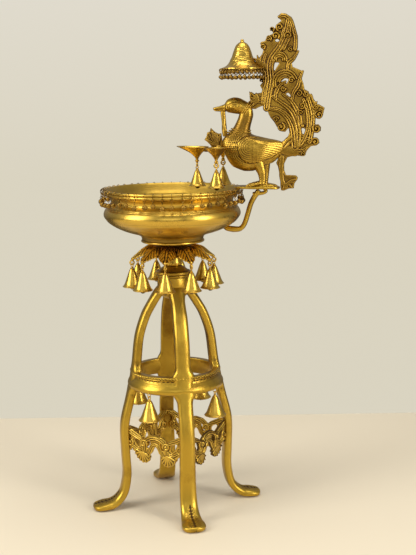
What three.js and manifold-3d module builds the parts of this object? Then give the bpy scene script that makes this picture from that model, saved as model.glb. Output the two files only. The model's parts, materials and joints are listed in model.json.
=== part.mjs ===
// Standing brass oil lamp: a four-legged stand, a bell crown, a wide bowl on a stud,
// and a bird perched beside the bowl that carries three wick cups and a belled canopy.
import * as THREE from "three";
import Module from "manifold-3d";
import { mergeVertices } from "three/addons/utils/BufferGeometryUtils.js";

const wasm = await Module();
wasm.setup();

// Driving dimensions, mm
const GAP = 0.3; // clearance left between separate castings
const STAND_HEIGHT = 371; // floor to the top of the leg hub
const FOOT_RADIUS = 131; // axis to a toe tip
const LEG_WIDTH = 22;
const LEG_DEPTH = 13;
const LEG_TURN = 22.2; // degrees from the bird's side to the nearest leg
const BAND_HEIGHT = 26;
const BAND_LEVEL = 188; // underside of the band
const FRET_THICK = 5;
const HUB_RADIUS = 24.5;
const STUD_RADIUS = 5;
const CROWN_HEIGHT = 33.4;
const CROWN_RADIUS = 62;
const CROWN_ARMS = 10;
const BOWL_RADIUS = 101.5;
const BOWL_HEIGHT = 81;
const RIM_BELLS = 48;
const PERCH_THICK = 8; // plume plate
const WIRE = 0.9; // radius of a bell's loop wire
const LOOP = 4.2; // radius of a bell's loop

// Levels and radii that follow from them
const HUB_FOOT = STAND_HEIGHT - 41;
const CROWN_BASE = STAND_HEIGHT + GAP;
const BOWL_BASE = CROWN_BASE + CROWN_HEIGHT + GAP;
const RIM_LEVEL = BOWL_BASE + BOWL_HEIGHT;
const HOLE_RADIUS = STUD_RADIUS + GAP;

const GOLD = [0xc9a13b, 0.28];
const OLD = [0x9c7a26, 0.42];
const DARK = [0x7d6120, 0.5];

const root = new THREE.Group();
root.name = "samai";

const rad = (degrees) => (degrees * Math.PI) / 180;
const mix = (a, b, t) => a + (b - a) * t;
const vec = (x, y, z) => new THREE.Vector3(x, y, z);

// Closed surface through a row of rings; a ring of one point is a pole, a loop joins last to first.
function skin(rings, loop = false) {
  const points = rings.flat();
  const starts = [];
  let total = 0;
  for (const ring of rings) {
    starts.push(total);
    total += ring.length;
  }
  const faces = [];
  const last = loop ? rings.length : rings.length - 1;
  for (let i = 0; i < last; i++) {
    const j = (i + 1) % rings.length;
    const count = Math.max(rings[i].length, rings[j].length);
    for (let k = 0; k < count; k++) {
      const n = (k + 1) % count;
      const a = starts[i] + (rings[i].length > 1 ? k : 0);
      const b = starts[i] + (rings[i].length > 1 ? n : 0);
      const c = starts[j] + (rings[j].length > 1 ? n : 0);
      const d = starts[j] + (rings[j].length > 1 ? k : 0);
      if (a !== b) faces.push([a, b, c]);
      if (c !== d) faces.push([a, c, d]);
    }
  }
  if (!loop) {
    const first = rings[0].length;
    const end = rings[rings.length - 1].length;
    const base = starts[rings.length - 1];
    for (let k = 1; k < first - 1; k++) faces.push([0, k + 1, k]);
    for (let k = 1; k < end - 1; k++) faces.push([base, base + k, base + k + 1]);
  }
  let volume = 0;
  for (const [a, b, c] of faces) {
    volume += points[a].dot(points[b].clone().cross(points[c]));
  }
  if (volume < 0) faces.forEach((face) => face.reverse());
  const geometry = new THREE.BufferGeometry().setFromPoints(points);
  return geometry.setIndex(faces.flat());
}

const circle = (radius, z, sides) =>
  Array.from({ length: radius === 0 ? 1 : sides }, (_, k) => {
    const angle = (2 * Math.PI * (k + 0.5)) / sides;
    return vec(radius * Math.cos(angle), radius * Math.sin(angle), z);
  });

// Turned body from [radius, height] pairs; a profile off the axis closes on itself.
function turned(profile, sides) {
  const loop = profile[0][0] > 0;
  return skin(profile.map(([r, z]) => circle(r, z, sides)), loop);
}

// Six-sided ring of wire lying in the YZ plane; its top and bottom edges are flat, at HEX radii.
const HEX = Math.sqrt(3) / 2;
function wireRing(radius, wire, sides = 4) {
  const around = 6;
  const rings = [];
  for (let i = 0; i < around; i++) {
    const turn = new THREE.Quaternion().setFromAxisAngle(vec(1, 0, 0), (2 * Math.PI * i) / around);
    rings.push(circle(wire, 0, sides).map((p) => vec(p.x, p.y + radius, 0).applyQuaternion(turn)));
  }
  return skin(rings, true);
}

// Flat plate standing in the XZ plane, centred on y = 0.
function plate(outline, thick) {
  const shape = new THREE.Shape(outline.map(([x, z]) => new THREE.Vector2(x, z)));
  const geometry = new THREE.ExtrudeGeometry(shape, { depth: thick, bevelEnabled: false, steps: 1 });
  return geometry.rotateX(Math.PI / 2).translate(0, thick / 2, 0);
}

function solid(geometry) {
  const bare = new THREE.BufferGeometry().setAttribute("position", geometry.getAttribute("position"));
  bare.setIndex(geometry.index);
  const merged = mergeVertices(bare, 1e-4);
  const vertProperties = new Float32Array(merged.attributes.position.array);
  const triVerts = new Uint32Array(merged.index.array);
  return new wasm.Manifold(new wasm.Mesh({ numProp: 3, vertProperties, triVerts }));
}

const pierced = (outline, thick, holes, place = (geometry) => geometry) =>
  holes.reduce(
    (body, hole) => body.subtract(solid(place(plate(hole, thick + 2)))),
    solid(place(plate(outline, thick))),
  );

const joined = (...geometries) => geometries.map(solid).reduce((all, one) => all.add(one));

function node(name, body, [colour, roughness]) {
  const made = body.simplify(0.004).getMesh();
  const geometry = new THREE.BufferGeometry();
  geometry.setAttribute("position", new THREE.BufferAttribute(new Float32Array(made.vertProperties), 3));
  geometry.setIndex(new THREE.BufferAttribute(made.triVerts, 1));
  geometry.computeVertexNormals();
  const material = new THREE.MeshStandardMaterial({ color: colour, roughness, metalness: 1 });
  const mesh = new THREE.Mesh(geometry, material);
  mesh.name = name;
  root.add(mesh);
}

// ---- Stand -------------------------------------------------------------------------------

// Centre line and section of a leg: [radius, height, width share, depth share].
const LEG_LINE = [
  [HUB_RADIUS - 9, HUB_FOOT + 10, 0.95, 1],
  [HUB_RADIUS, HUB_FOOT, 0.95, 1],
  [36, STAND_HEIGHT * 0.841, 0.95, 1],
  [45, STAND_HEIGHT * 0.795, 1, 1],
  [54.5, STAND_HEIGHT * 0.715, 1, 1],
  [59.5, STAND_HEIGHT * 0.606, 1.02, 1.05],
  [63.5, STAND_HEIGHT * 0.539, 1.02, 1.05],
  [71, STAND_HEIGHT * 0.458, 1.02, 1],
  [80, STAND_HEIGHT * 0.35, 1.02, 1],
  [79.5, STAND_HEIGHT * 0.23, 1.05, 1],
  [78.5, STAND_HEIGHT * 0.15, 1.1, 1],
  [82.5, STAND_HEIGHT * 0.083, 1.15, 1],
  [90.5, 16.5, 1.22, 1],
  [102, 7.6, 1.4, 0.95],
  [FOOT_RADIUS - 16, 5.8, 1.62, 0.85],
  [FOOT_RADIUS - 6, 5, 1.4, 0.72],
  [FOOT_RADIUS - 0.5, 4.2, 0.75, 0.5],
];

function legRadiusAt(height) {
  const upper = LEG_LINE.findIndex(([, z]) => z < height) - 1;
  const [r1, z1] = LEG_LINE[upper];
  const [r2, z2] = LEG_LINE[upper + 1];
  return mix(r1, r2, (z1 - height) / (z1 - z2));
}

// Leg section: flat inside, rounded outside, swept down the centre line and turned to its bearing.
function legForm(turn, extra = 0) {
  const rings = LEG_LINE.map(([r, z, wide, deep], i) => {
    const above = LEG_LINE[Math.max(i - 1, 0)];
    const below = LEG_LINE[Math.min(i + 1, LEG_LINE.length - 1)];
    const along = new THREE.Vector2(below[0] - above[0], below[1] - above[1]).normalize();
    const w = (LEG_WIDTH * wide) / 2 + extra;
    const d = (LEG_DEPTH * deep) / 2 + extra;
    const section = [[-0.94, -1], [0.94, -1], [1, -0.1], [0.72, 0.68], [0, 1], [-0.72, 0.68], [-1, -0.1]];
    return section.map(([s, n]) => vec(r - along.y * d * n, s * w, z + along.x * d * n));
  });
  return skin(rings).rotateZ(rad(turn));
}

const BAND_TOP = BAND_LEVEL + BAND_HEIGHT;
const BAND_OUT_TOP = legRadiusAt(BAND_TOP) + LEG_DEPTH * 0.4;
const BAND_OUT_FOOT = legRadiusAt(BAND_LEVEL) + LEG_DEPTH * 0.5;
const LAP_TOP = legRadiusAt(BAND_TOP) + LEG_DEPTH * 0.13;
const LAP_FOOT = legRadiusAt(BAND_LEVEL) + LEG_DEPTH * 0.25;

function hubForm(extra = 0) {
  const r = HUB_RADIUS + extra;
  return turned([
    [HOLE_RADIUS, HUB_FOOT - 8 - extra],
    [r * 0.6, HUB_FOOT - 8 - extra],
    [r * 0.85, HUB_FOOT - 3],
    [r * 0.97, HUB_FOOT + 5],
    [r, HUB_FOOT + 14],
    [r * 0.93, HUB_FOOT + 24],
    [r * 1.1, HUB_FOOT + 26],
    [r * 1.1, HUB_FOOT + 32.5],
    [r * 0.85, HUB_FOOT + 34.5],
    [r * 0.45, STAND_HEIGHT],
    [HOLE_RADIUS, STAND_HEIGHT],
  ], 24);
}

const bearings = { front: LEG_TURN - 90, right: LEG_TURN, rear: LEG_TURN + 90, left: LEG_TURN + 180 };

function makeLegs() {
  const hubRoom = turned([[0, HUB_FOOT - 8.4], [HUB_RADIUS * 0.62, HUB_FOOT - 8.4],
    [HUB_RADIUS * 0.87 + GAP, HUB_FOOT - 3.2], [HUB_RADIUS + GAP, HUB_FOOT + 5],
    [HUB_RADIUS + GAP * 2, HUB_FOOT + 14], [HUB_RADIUS * 0.95 + GAP, HUB_FOOT + 30],
    [0, HUB_FOOT + 30]], 24);
  const lap = turned([[30, BAND_TOP + GAP], [LAP_TOP + GAP, BAND_TOP + GAP],
    [LAP_FOOT + GAP, BAND_LEVEL - GAP], [30, BAND_LEVEL - GAP]], 32);
  for (const [side, turn] of Object.entries(bearings)) {
    const body = solid(legForm(turn)).subtract(solid(hubRoom)).subtract(solid(lap));
    node("leg_" + side, body, GOLD);
  }
}

// Rolled band: bead, cove and rounded lower roll outside, a plain drum inside, drilled for four loops.
function makeBand() {
  const t = BAND_OUT_TOP;
  const f = BAND_OUT_FOOT;
  const ring = turned([
    [t, BAND_TOP],
    [t + 1.6, BAND_TOP - 2.2],
    [mix(t, f, 0.08), BAND_TOP - 5.5],
    [mix(t, f, 0.62), BAND_TOP - 15],
    [f + 0.2, BAND_LEVEL + 6],
    [f - 0.6, BAND_LEVEL + 1.6],
    [f - 3.4, BAND_LEVEL],
    [LAP_FOOT - 2.6, BAND_LEVEL + 3],
    [LAP_TOP - 3, BAND_TOP],
  ], 32);
  const outside = turned([[LAP_TOP, BAND_TOP + GAP], [f + 30, BAND_TOP + GAP],
    [f + 30, BAND_LEVEL - GAP], [LAP_FOOT, BAND_LEVEL - GAP]], 32);
  let body = solid(ring);
  for (const turn of Object.values(bearings)) {
    body = body.subtract(solid(legForm(turn, GAP)).intersect(solid(outside)));
  }
  for (const turn of Object.values(bearings)) {
    const bore = turned([[0, -9], [WIRE + 1, -9], [WIRE + 1, 9], [0, 9]], 6);
    bore.rotateY(Math.PI / 2).translate(BAY_RADIUS, 0, BAY_LEVEL).rotateZ(rad(turn + 45));
    body = body.subtract(solid(bore));
  }
  node("band_ring", body, GOLD);
}

const FRET_FOOT = STAND_HEIGHT * 0.2;
const FRET_SPAN = legRadiusAt(FRET_FOOT + 32) * Math.SQRT1_2;

// Vine scroll between two legs: an arch with a leaf hanging at each end; x is a share of the half span.
const FRET_HALF = [
  [0, 47], [0.22, 45], [0.32, 40.5], [0.38, 36.5], [0.46, 42], [0.6, 46], [0.75, 50], [1.04, 55],
  [1.04, 20], [0.76, 20], [0.68, 16], [0.6, 8], [0.5, 3], [0.4, 0.5], [0.29, 1.5], [0.21, 5],
  [0.17, 10], [0.18, 15], [0.1, 19], [0.05, 26], [0, 28.5],
];
const FRET_EYES = [
  [[0.16, 35], [0.22, 35], [0.27, 29], [0.26, 25], [0.2, 27]],
  [[0.5, 32], [0.6, 37], [0.68, 37], [0.62, 30], [0.52, 25]],
];

function makeFrets() {
  const half = FRET_SPAN;
  const mirror = FRET_HALF.slice(1, -1).reverse();
  const outline = [...FRET_HALF.map(([x, z]) => [x * half, z]), ...mirror.map(([x, z]) => [-x * half, z])];
  const holes = FRET_EYES.flatMap((eye) => [1, -1].map((s) => eye.map(([x, z]) => [s * x * half, z])));
  const bosses = [[0.36, 31, 5.5], [0.8, 38, 6], [0.34, 8, 4.2]];
  for (const [side, turn] of Object.entries(bearings)) {
    const place = (geometry) => geometry.translate(0, -FRET_SPAN, FRET_FOOT).rotateZ(rad(turn + 135));
    let body = pierced(outline, FRET_THICK, holes, place);
    for (const [x, z, r] of bosses) {
      for (const s of [1, -1]) {
        const boss = turned([[0, -FRET_THICK / 2 - 1.4], [r, -FRET_THICK / 2 + 0.4], [0, 1]], 7);
        boss.rotateX(-Math.PI / 2).translate(s * x * half, 0, z);
        body = body.add(solid(place(boss)));
      }
    }
    for (const other of [turn, turn + 90]) body = body.subtract(solid(legForm(other, GAP)));
    node("fret_" + side, body, DARK);
  }
}

// ---- Bells -------------------------------------------------------------------------------

// A bell hung by its loop; the origin is the middle of the loop's top wire.
function bellForm(mouth, height, loop) {
  const top = -2 * HEX * loop - WIRE * 0.3;
  const shell = turned([
    [0, top],
    [mouth * 0.32, top - height * 0.03],
    [mouth * 0.5, top - height * 0.45],
    [mouth * 0.7, top - height * 0.76],
    [mouth, top - height],
    [mouth * 0.9, top - height],
    [mouth * 0.4, top - height * 0.45],
    [0, top - height * 0.14],
  ], 10);
  const ring = wireRing(loop, WIRE).translate(0, 0, -loop * HEX);
  const pin = turned([[0, -mouth * 0.36], [0.7, -mouth * 0.36], [0.7, mouth * 0.36], [0, mouth * 0.36]], 4);
  pin.rotateX(Math.PI / 2).translate(0, 0, top - height * 0.32);
  return joined(shell, ring, pin);
}

// Clapper: an eye round the bell's pin, a thin stem and a round striker.
function clapperForm(mouth, height, loop) {
  const pin = -2 * HEX * loop - WIRE * 0.3 - height * 0.32;
  const eye = wireRing(1.9, 0.5, 3).rotateZ(Math.PI / 2).translate(0, 0, pin);
  const ball = mouth * 0.27;
  const centre = pin - height * 0.68 - ball * 0.2;
  const stem = turned([
    [0, pin - 1.7],
    [0.8, pin - 1.7],
    [0.8, centre + ball],
    [ball, centre + ball * 0.3],
    [ball * 0.7, centre - ball * 0.7],
    [0, centre - ball],
  ], 6);
  return joined(eye, stem);
}

function makeBell(name, [mouth, height, loop], place) {
  const moved = (body) => {
    const made = body.getMesh();
    const geometry = new THREE.BufferGeometry();
    geometry.setAttribute("position", new THREE.BufferAttribute(new Float32Array(made.vertProperties), 3));
    geometry.setIndex(new THREE.BufferAttribute(made.triVerts, 1));
    return solid(place(geometry));
  };
  node("bell_" + name, moved(bellForm(mouth, height, loop)), GOLD);
  node("clapper_" + name, moved(clapperForm(mouth, height, loop)), OLD);
}

const CROWN_BELL = [14, 28, LOOP];
const BAY_BELL = [15.5, 30, LOOP * 1.7];
const LAMP_BELL = [12, 24, LOOP];
const BAY_RADIUS = BAND_OUT_FOOT - 2.9;
const BAY_LEVEL = BAND_LEVEL + 4.2;

// ---- Crown -------------------------------------------------------------------------------

const CROWN_TOP = CROWN_BASE + CROWN_HEIGHT;
const EYE_RADIUS = 3.1;
const EYE_WIRE = 1.2;
const EYE_REACH = CROWN_RADIUS - 0.5;
const EYE_LEVEL = CROWN_BASE + 5.4;

// Ten drooping petals on one domed casting, each with an eye at its tip, over a central socket.
function makeCrown() {
  const per = 4;
  const count = CROWN_ARMS * per;
  const reach = [1, 0.52, 0, 0.52];
  const fall = [[0.19, 0], [0.6, 0], [0.74, 0.22], [0.87, 0.45], [1, 0.68]];
  const ringAt = (share, below) => {
    const ring = [];
    for (let k = 0; k < count; k++) {
      const edge = mix(0.85, 1, reach[k % per]);
      const part = Math.min(share, edge);
      const i = Math.max(1, fall.findIndex(([s]) => s >= part));
      const [s1, f1] = fall[i - 1];
      const [s2, f2] = fall[i];
      const drop = mix(f1, f2, (part - s1) / (s2 - s1)) * CROWN_HEIGHT;
      const r = CROWN_RADIUS * part;
      const angle = (2 * Math.PI * k) / count - Math.PI / 2;
      ring.push(vec(r * Math.cos(angle), r * Math.sin(angle), CROWN_TOP - drop - below));
    }
    return ring;
  };
  const shares = [0.19, 0.6, 0.73, 0.85, 1];
  const edgeTrim = (s, i) => (i === 4 ? s : Math.min(s, 0.85 - (3 - i) * 0.001));
  const top = shares.map((s, i) => ringAt(edgeTrim(s, i) - (i === 3 ? 0.02 : 0), 0));
  const under = shares.map((s, i) => ringAt(edgeTrim(s, i) - (i === 3 ? 0.02 : 0), 3.2)).reverse();
  const socket = turned([[HOLE_RADIUS, CROWN_BASE], [13, CROWN_BASE],
    [15, CROWN_TOP - 1], [HOLE_RADIUS, CROWN_TOP - 1]], 16);
  let body = joined(skin([...top, ...under], true), socket);
  for (let k = 0; k < CROWN_ARMS; k++) {
    const eye = wireRing(EYE_RADIUS, EYE_WIRE).rotateZ(Math.PI / 2);
    eye.translate(EYE_REACH, 0, EYE_LEVEL).rotateZ(rad(-90 + (360 * k) / CROWN_ARMS));
    body = body.add(solid(eye));
  }
  node("bell_crown", body, DARK);
  const pivot = EYE_LEVEL - EYE_RADIUS * HEX + EYE_WIRE + WIRE + GAP;
  for (let k = 0; k < CROWN_ARMS; k++) {
    const turn = rad(-90 + (360 * k) / CROWN_ARMS);
    makeBell("crown_" + k, CROWN_BELL, (g) => g.translate(EYE_REACH, 0, pivot).rotateZ(turn));
  }
}

function makeBayBells() {
  for (const [side, turn] of Object.entries(bearings)) {
    const place = (g) => g.rotateZ(Math.PI / 2).translate(BAY_RADIUS, 0, BAY_LEVEL).rotateZ(rad(turn + 45));
    makeBell("bay_" + side, BAY_BELL, place);
  }
}

// ---- Bowl --------------------------------------------------------------------------------

const BOWL_OUTSIDE = [
  [36, 0.3], [46.5, 5], [46.5, 10], [50, 13], [70, 19], [90, 29], [98, 36], [101.5, 43],
  [99.5, 50], [90.5, 62], [95, 70.5], [101.5, 75], [100.6, 78], [101.5, 80], [99.5, 81],
];
const BOWL_INSIDE = [
  [96.5, 76], [87.5, 62.5], [96.7, 49], [98.5, 43], [95.6, 38], [88, 32],
  [69, 22.4], [49, 16.4], [36, 5.5],
];
const bowlPoint = ([r, z]) => [(r * BOWL_RADIUS) / 101.5, BOWL_BASE + (z * BOWL_HEIGHT) / 81];

function makeBowl() {
  const outside = BOWL_OUTSIDE.map(bowlPoint);
  const inside = BOWL_INSIDE.map(bowlPoint);
  const floor = bowlPoint([36, 5.5])[1];
  const wall = [[HOLE_RADIUS, BOWL_BASE], ...outside, ...inside, [HOLE_RADIUS, floor]];
  node("bowl", solid(turned(wall, 36)), GOLD);
  const stud = turned([[0, HUB_FOOT + 6], [STUD_RADIUS, HUB_FOOT + 6], [STUD_RADIUS, floor + 9.5],
    [STUD_RADIUS - 1, floor + 10.5], [0, floor + 10.5]], 16);
  node("centre_stud", solid(stud), OLD);
  const nut = turned([[HOLE_RADIUS, floor + GAP], [10, floor + GAP], [10, floor + 5.5], [9, floor + 7],
    [HOLE_RADIUS, floor + 7]], 6);
  const bore = turned([[0, floor - 1], [HOLE_RADIUS, floor - 1], [HOLE_RADIUS, floor + 9],
    [0, floor + 9]], 16);
  node("centre_nut", solid(nut).subtract(solid(bore)), OLD);
}

// Small jingle bells strung on one hoop under the rim's lower bead.
function makeRimBells() {
  const [bead, beadLevel] = bowlPoint([101.5, 75]);
  const level = beadLevel - 2.6;
  const r = bead - 2.4;
  const hoop = turned([[r, level + 1.5], [r + 2.6, level + 1.5], [r + 2.6, level - 1.1],
    [r, level - 1.1]], 36);
  let body = solid(hoop);
  for (let k = 0; k < RIM_BELLS; k++) {
    const ball = turned([[0, 0.6], [4, -6], [0, -10.5]], 4);
    ball.translate(r + 1.6, 0, level).rotateZ((2 * Math.PI * (k + 0.5)) / RIM_BELLS);
    body = body.add(solid(ball));
  }
  node("rim_ghungroos", body.subtract(bowlRoom()), OLD);
}

// The bowl's outer form grown by the clearance, used to fit its neighbours.
function bowlRoom() {
  const under = BOWL_BASE + 35;
  const rim = RIM_LEVEL - 4;
  const lift = (z) => (z < under ? -GAP : z < rim ? 0 : GAP);
  const grown = BOWL_OUTSIDE.map(bowlPoint).map(([r, z]) => [r + GAP * 1.4, z + lift(z)]);
  return solid(turned([[0, BOWL_BASE - 1], ...grown, [0, RIM_LEVEL + GAP]], 36));
}

// ---- Perch: shelf, bird, cups, plume and canopy ------------------------------------------

// Side-view coordinates: x from the bowl's rim, z from the rim's level.
const at = (points) => points.map(([x, z]) => [BOWL_RADIUS + x, RIM_LEVEL + z]);
const px = (x) => BOWL_RADIUS + x;
const pz = (z) => RIM_LEVEL + z;

function makeShelf() {
  const side = plate(at([[-8, 0.6], [-8, 3.2], [56, 3], [58.5, 1.2], [56, -2.2], [1, -3], [1, 0.6]]), 30);
  const mound = turned([[0, 0], [14, 0], [10, 4.6], [0, 5.2]], 12);
  mound.scale(1.5, 0.9, 1).translate(px(33), 0, pz(2));
  node("shelf", joined(side, mound).subtract(bowlRoom()).subtract(plumeRoom()), GOLD);
  const line = at([[-20, -58.5], [-6, -60], [3, -59], [9, -50], [13, -34],
    [17.5, -20], [24, -9.5], [27, -4.6]]);
  const rings = line.map(([x, z], i) => {
    const a = line[Math.max(i - 1, 0)];
    const b = line[Math.min(i + 1, line.length - 1)];
    const along = new THREE.Vector2(b[0] - a[0], b[1] - a[1]).normalize();
    const corners = [[-2.8, -5], [2.8, -5], [3.4, 0], [2.8, 5], [-2.8, 5]];
    return corners.map(([n, y]) => vec(x - along.y * n, y, z + along.x * n));
  });
  const lip = plate(at([[21, -5], [25, -9], [31, -10.5], [36, -8.6], [37.5, -6.4],
    [33, -4.8], [28, -3.3]]), 12);
  const shelfRoom = plate(at([[-9, -3.2], [60, -2.5], [60, 6], [-9, 6]]), 40);
  const body = joined(skin(rings), lip).subtract(bowlRoom()).subtract(solid(shelfRoom));
  node("shelf_strut", body, GOLD);
}

// Oval sections along x: [x, middle height, half height, half width].
function ovalLoft(stations, sides, extra = 0) {
  const rings = stations.map(([x, z, high, wide]) =>
    Array.from({ length: sides }, (_, k) => {
      const angle = (2 * Math.PI * k) / sides;
      return vec(px(x), (wide + extra) * Math.cos(angle), pz(z) + (high + extra) * Math.sin(angle));
    }));
  return skin(rings);
}

// Oval sections up the neck: [height, middle x, half length, half width].
function neckLoft(stations, sides, extra = 0) {
  const rings = stations.map(([z, x, long, wide]) =>
    Array.from({ length: sides }, (_, k) => {
      const angle = (2 * Math.PI * k) / sides;
      return vec(px(x) + (long + extra) * Math.cos(angle), (wide + extra) * Math.sin(angle), pz(z));
    }));
  return skin(rings);
}

const BODY = [[-26.3, 66, 3, 3], [-23, 62, 10.5, 8], [-17.5, 57.5, 16.5, 12.5], [-7, 52.5, 23.5, 17],
  [6, 51.5, 27, 19.5], [20, 51.8, 26, 20], [33, 54, 21, 17.5], [45, 53.5, 17, 13.5],
  [56, 56, 13, 9], [63, 58, 8, 4.5]];
const NECK = [[66, -2, 19, 12.5], [76, 0, 16.5, 11], [84, 3, 14, 9.5], [94, 6.5, 12, 8.8],
  [103, 9, 10.5, 8.6], [112, 7, 9.5, 8.4], [122, 3, 10, 8], [128.5, -3, 6, 5]];
const HEAD = [[-38.5, 113.5, 1.3, 1.6], [-33, 114.5, 3.4, 3], [-24, 116, 5.8, 4.6], [-20, 117.5, 9, 7],
  [-13, 118, 11.6, 9.4], [-4, 118.5, 12, 10], [5, 117, 9.5, 8.5], [10, 115, 5, 5]];

const birdForm = (extra) =>
  solid(ovalLoft(BODY, 12, extra))
    .add(solid(neckLoft(NECK, 10, extra)))
    .add(solid(ovalLoft(HEAD, 10, extra)));

function makeBird() {
  let body = birdForm(0);
  for (const s of [1, -1]) {
    const wing = ovalLoft([[-8, 58, 6, 2], [4, 60, 13, 4], [24, 61, 12, 4], [44, 62.5, 8, 3],
      [66, 63, 1.5, 1.5]], 6);
    wing.translate(0, s * 16.5, 0);
    const leg = neckLoft([[44, 31, 7, 4.6], [34, 32.5, 6, 4.2], [18, 33.5, 4.6, 3.6],
      [8.5, 34, 3.6, 3.4], [6, 34, 5, 5]], 6);
    leg.translate(0, s * 9, 0);
    const foot = ovalLoft([[14, 6.6, 1.2, 5], [24, 7, 1.6, 6], [36, 7.2, 2.4, 5.5], [44, 7, 1.2, 3]], 6);
    foot.translate(0, s * 8, 0);
    const eye = turned([[0, -1], [4.6, -1], [3.4, 1.2], [0, 1.8]], 6);
    eye.rotateX(-s * Math.PI / 2).scale(1.3, 1, 0.9).translate(px(-6), s * 9.4, pz(118));
    body = body.add(solid(wing)).add(solid(leg)).add(solid(foot)).add(solid(eye));
  }
  body = body.subtract(plumeRoom()).subtract(solid(plate(at([[0, -9], [70, -9], [70, 3.5], [0, 3.5]]), 60)));
  const mound = turned([[0, 0], [14 + GAP, 0], [10 + GAP, 4.9], [0, 5.6]], 12);
  mound.scale(1.5, 0.9, 1).translate(px(33), 0, pz(2));
  node("bird_body", body.subtract(solid(mound)), DARK);
}

const PLUME_RIGHT = [
  [55.5, 243], [61, 247.5], [68, 246.5], [76, 241], [78.5, 236], [78, 230], [82.5, 220], [83, 209],
  [79.5, 197],
  [85.5, 194], [80, 187.5], [74.5, 181], [77, 172], [86.5, 168], [91.5, 166], [88, 160], [92.5, 148],
  [94, 140], [99.5, 138], [104, 125], [109, 123], [115.5, 115], [122.5, 114], [120, 103], [112.5, 102],
  [107.5, 96], [108, 91], [114, 91], [117.5, 87], [117, 81.5], [112, 79], [105.5, 81], [103.5, 74],
  [107, 71.5], [114, 70], [115.5, 64.5], [111, 61], [103, 60], [97.5, 54], [95.5, 49], [90, 45.5], [81, 47],
  [69, 44], [64.5, 35], [64.5, 26], [67, 19], [81.5, 18.5], [84.5, 15.5], [83.5, 12], [79.5, 7],
  [78.5, -0.5],
  [71, -1], [64, -4], [60, -3.6], [59, 3], [59, 14], [55.5, 31], [53, 36],
];
const PLUME_LEFT = [
  [62, 67.5], [68, 70], [72, 79], [71, 86.5], [66, 80.5], [60, 81.5], [54, 88], [50, 95], [45, 101],
  [42.5, 106], [38, 118], [32, 117.5], [26, 115], [23.5, 113.4], [18.5, 114], [15.5, 126], [14.5, 139],
  [20, 135], [33, 137], [34.5, 139], [30, 147], [36, 154], [36.5, 158], [28.5, 170], [28.5, 185],
  [33.5, 191], [35, 196], [30.5, 206], [32.5, 208], [37.5, 209], [40.5, 215], [48.5, 219], [50.5, 222],
  [53.5, 230], [57, 234], [61, 236.5], [58, 240],
];
const PLUME_HOLES = [
  [[57.5, 178], [50.5, 177.5], [46.5, 169], [45.5, 165], [49.5, 165.5], [54, 172]],
  [[60, 151.5], [65, 156], [70, 158], [71, 155], [68.5, 149.5], [64.5, 150]],
  [[66.2, 131.5], [70, 127], [73.8, 131.5], [70, 136]],
  [[52, 209.5], [55, 207.6], [58, 209.5], [55, 211.4]],
  [[89, 85], [94.5, 84.5], [93.5, 79], [87.5, 66], [85, 66], [88, 76]],
];
// Rolled scroll ends on the plume: [x, z, radius].
const SCROLLS = [
  [53, 216, 4.4], [70.5, 216, 5.2], [60.5, 85.5, 5.4], [111.5, 85, 5.6], [109.5, 66.5, 5.2], [91.5, 49, 3.4],
  [115.5, 104, 4.8], [86.5, 135, 4], [96.5, 134, 3.6], [76.5, 154, 3.6], [63.5, 142, 3.8], [90.5, 116, 4.8],
  [74.5, 197, 3], [73, 101, 4], [49.5, 199, 4], [79, 12, 3.4],
];
const CANOPY_X = 5;
const CANOPY = [
  [0, 212], [2.4, 209], [1.6, 206.4], [10, 203.6], [13.5, 194], [17, 184],
  [20, 177.5], [25.5, 173.2], [30.5, 171.6], [29.6, 169.6], [18, 175.4], [14.6, 183],
  [8, 200.6], [0, 202],
];
const FRINGE_LEVEL = 168;

const PLUME_OUTLINE = [...PLUME_RIGHT, ...PLUME_LEFT];

// The plume's lower parts grown sideways, used to notch the bird and shelf where it passes them.
function plumeRoom() {
  const base = at([[47, 32], [52.5, 35], [52.7, 69], [61.7, 68], [90, 70], [90, 40], [63, 40], [64.6, 26],
    [90, 20],
    [90, -8], [58.6, -8], [58.6, 14], [55, 30.5]]);
  const nape = at([[14.2, 139.5], [15.2, 126], [18.2, 113.7], [23.5, 113], [60, 118], [60, 140]]);
  const room = PERCH_THICK + 2 * GAP;
  return joined(plate(base, 60), plate(nape, room));
}

function canopyRoom() {
  const outer = [[0, 214], [10.5, 206], [14, 194.5], [17.5, 184.5], [20.4, 178], [26, 173.8], [31.4, 172.4],
    [34.6, 172], [34.6, 152.5], [0, 152.5]];
  return solid(turned(outer, 20).translate(px(CANOPY_X), 0, RIM_LEVEL));
}

function makePlume() {
  let body = pierced(at(PLUME_OUTLINE), PERCH_THICK, PLUME_HOLES.map(at));
  for (const [x, z, r] of SCROLLS) {
    const wide = PERCH_THICK / 2;
    const roll = turned([[0, -wide - 2], [r, -wide + 0.2], [r, wide - 0.2], [0, wide + 2]], 7);
    body = body.add(solid(roll.rotateX(Math.PI / 2).translate(px(x), 0, pz(z))));
  }
  const shelfRoom = plate(at([[0, -3.5], [58.8, -3.5], [58.8, 3.4], [0, 3.4]]), 60);
  body = body.subtract(canopyRoom()).subtract(solid(shelfRoom));
  node("plume", body, DARK);
}

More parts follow.
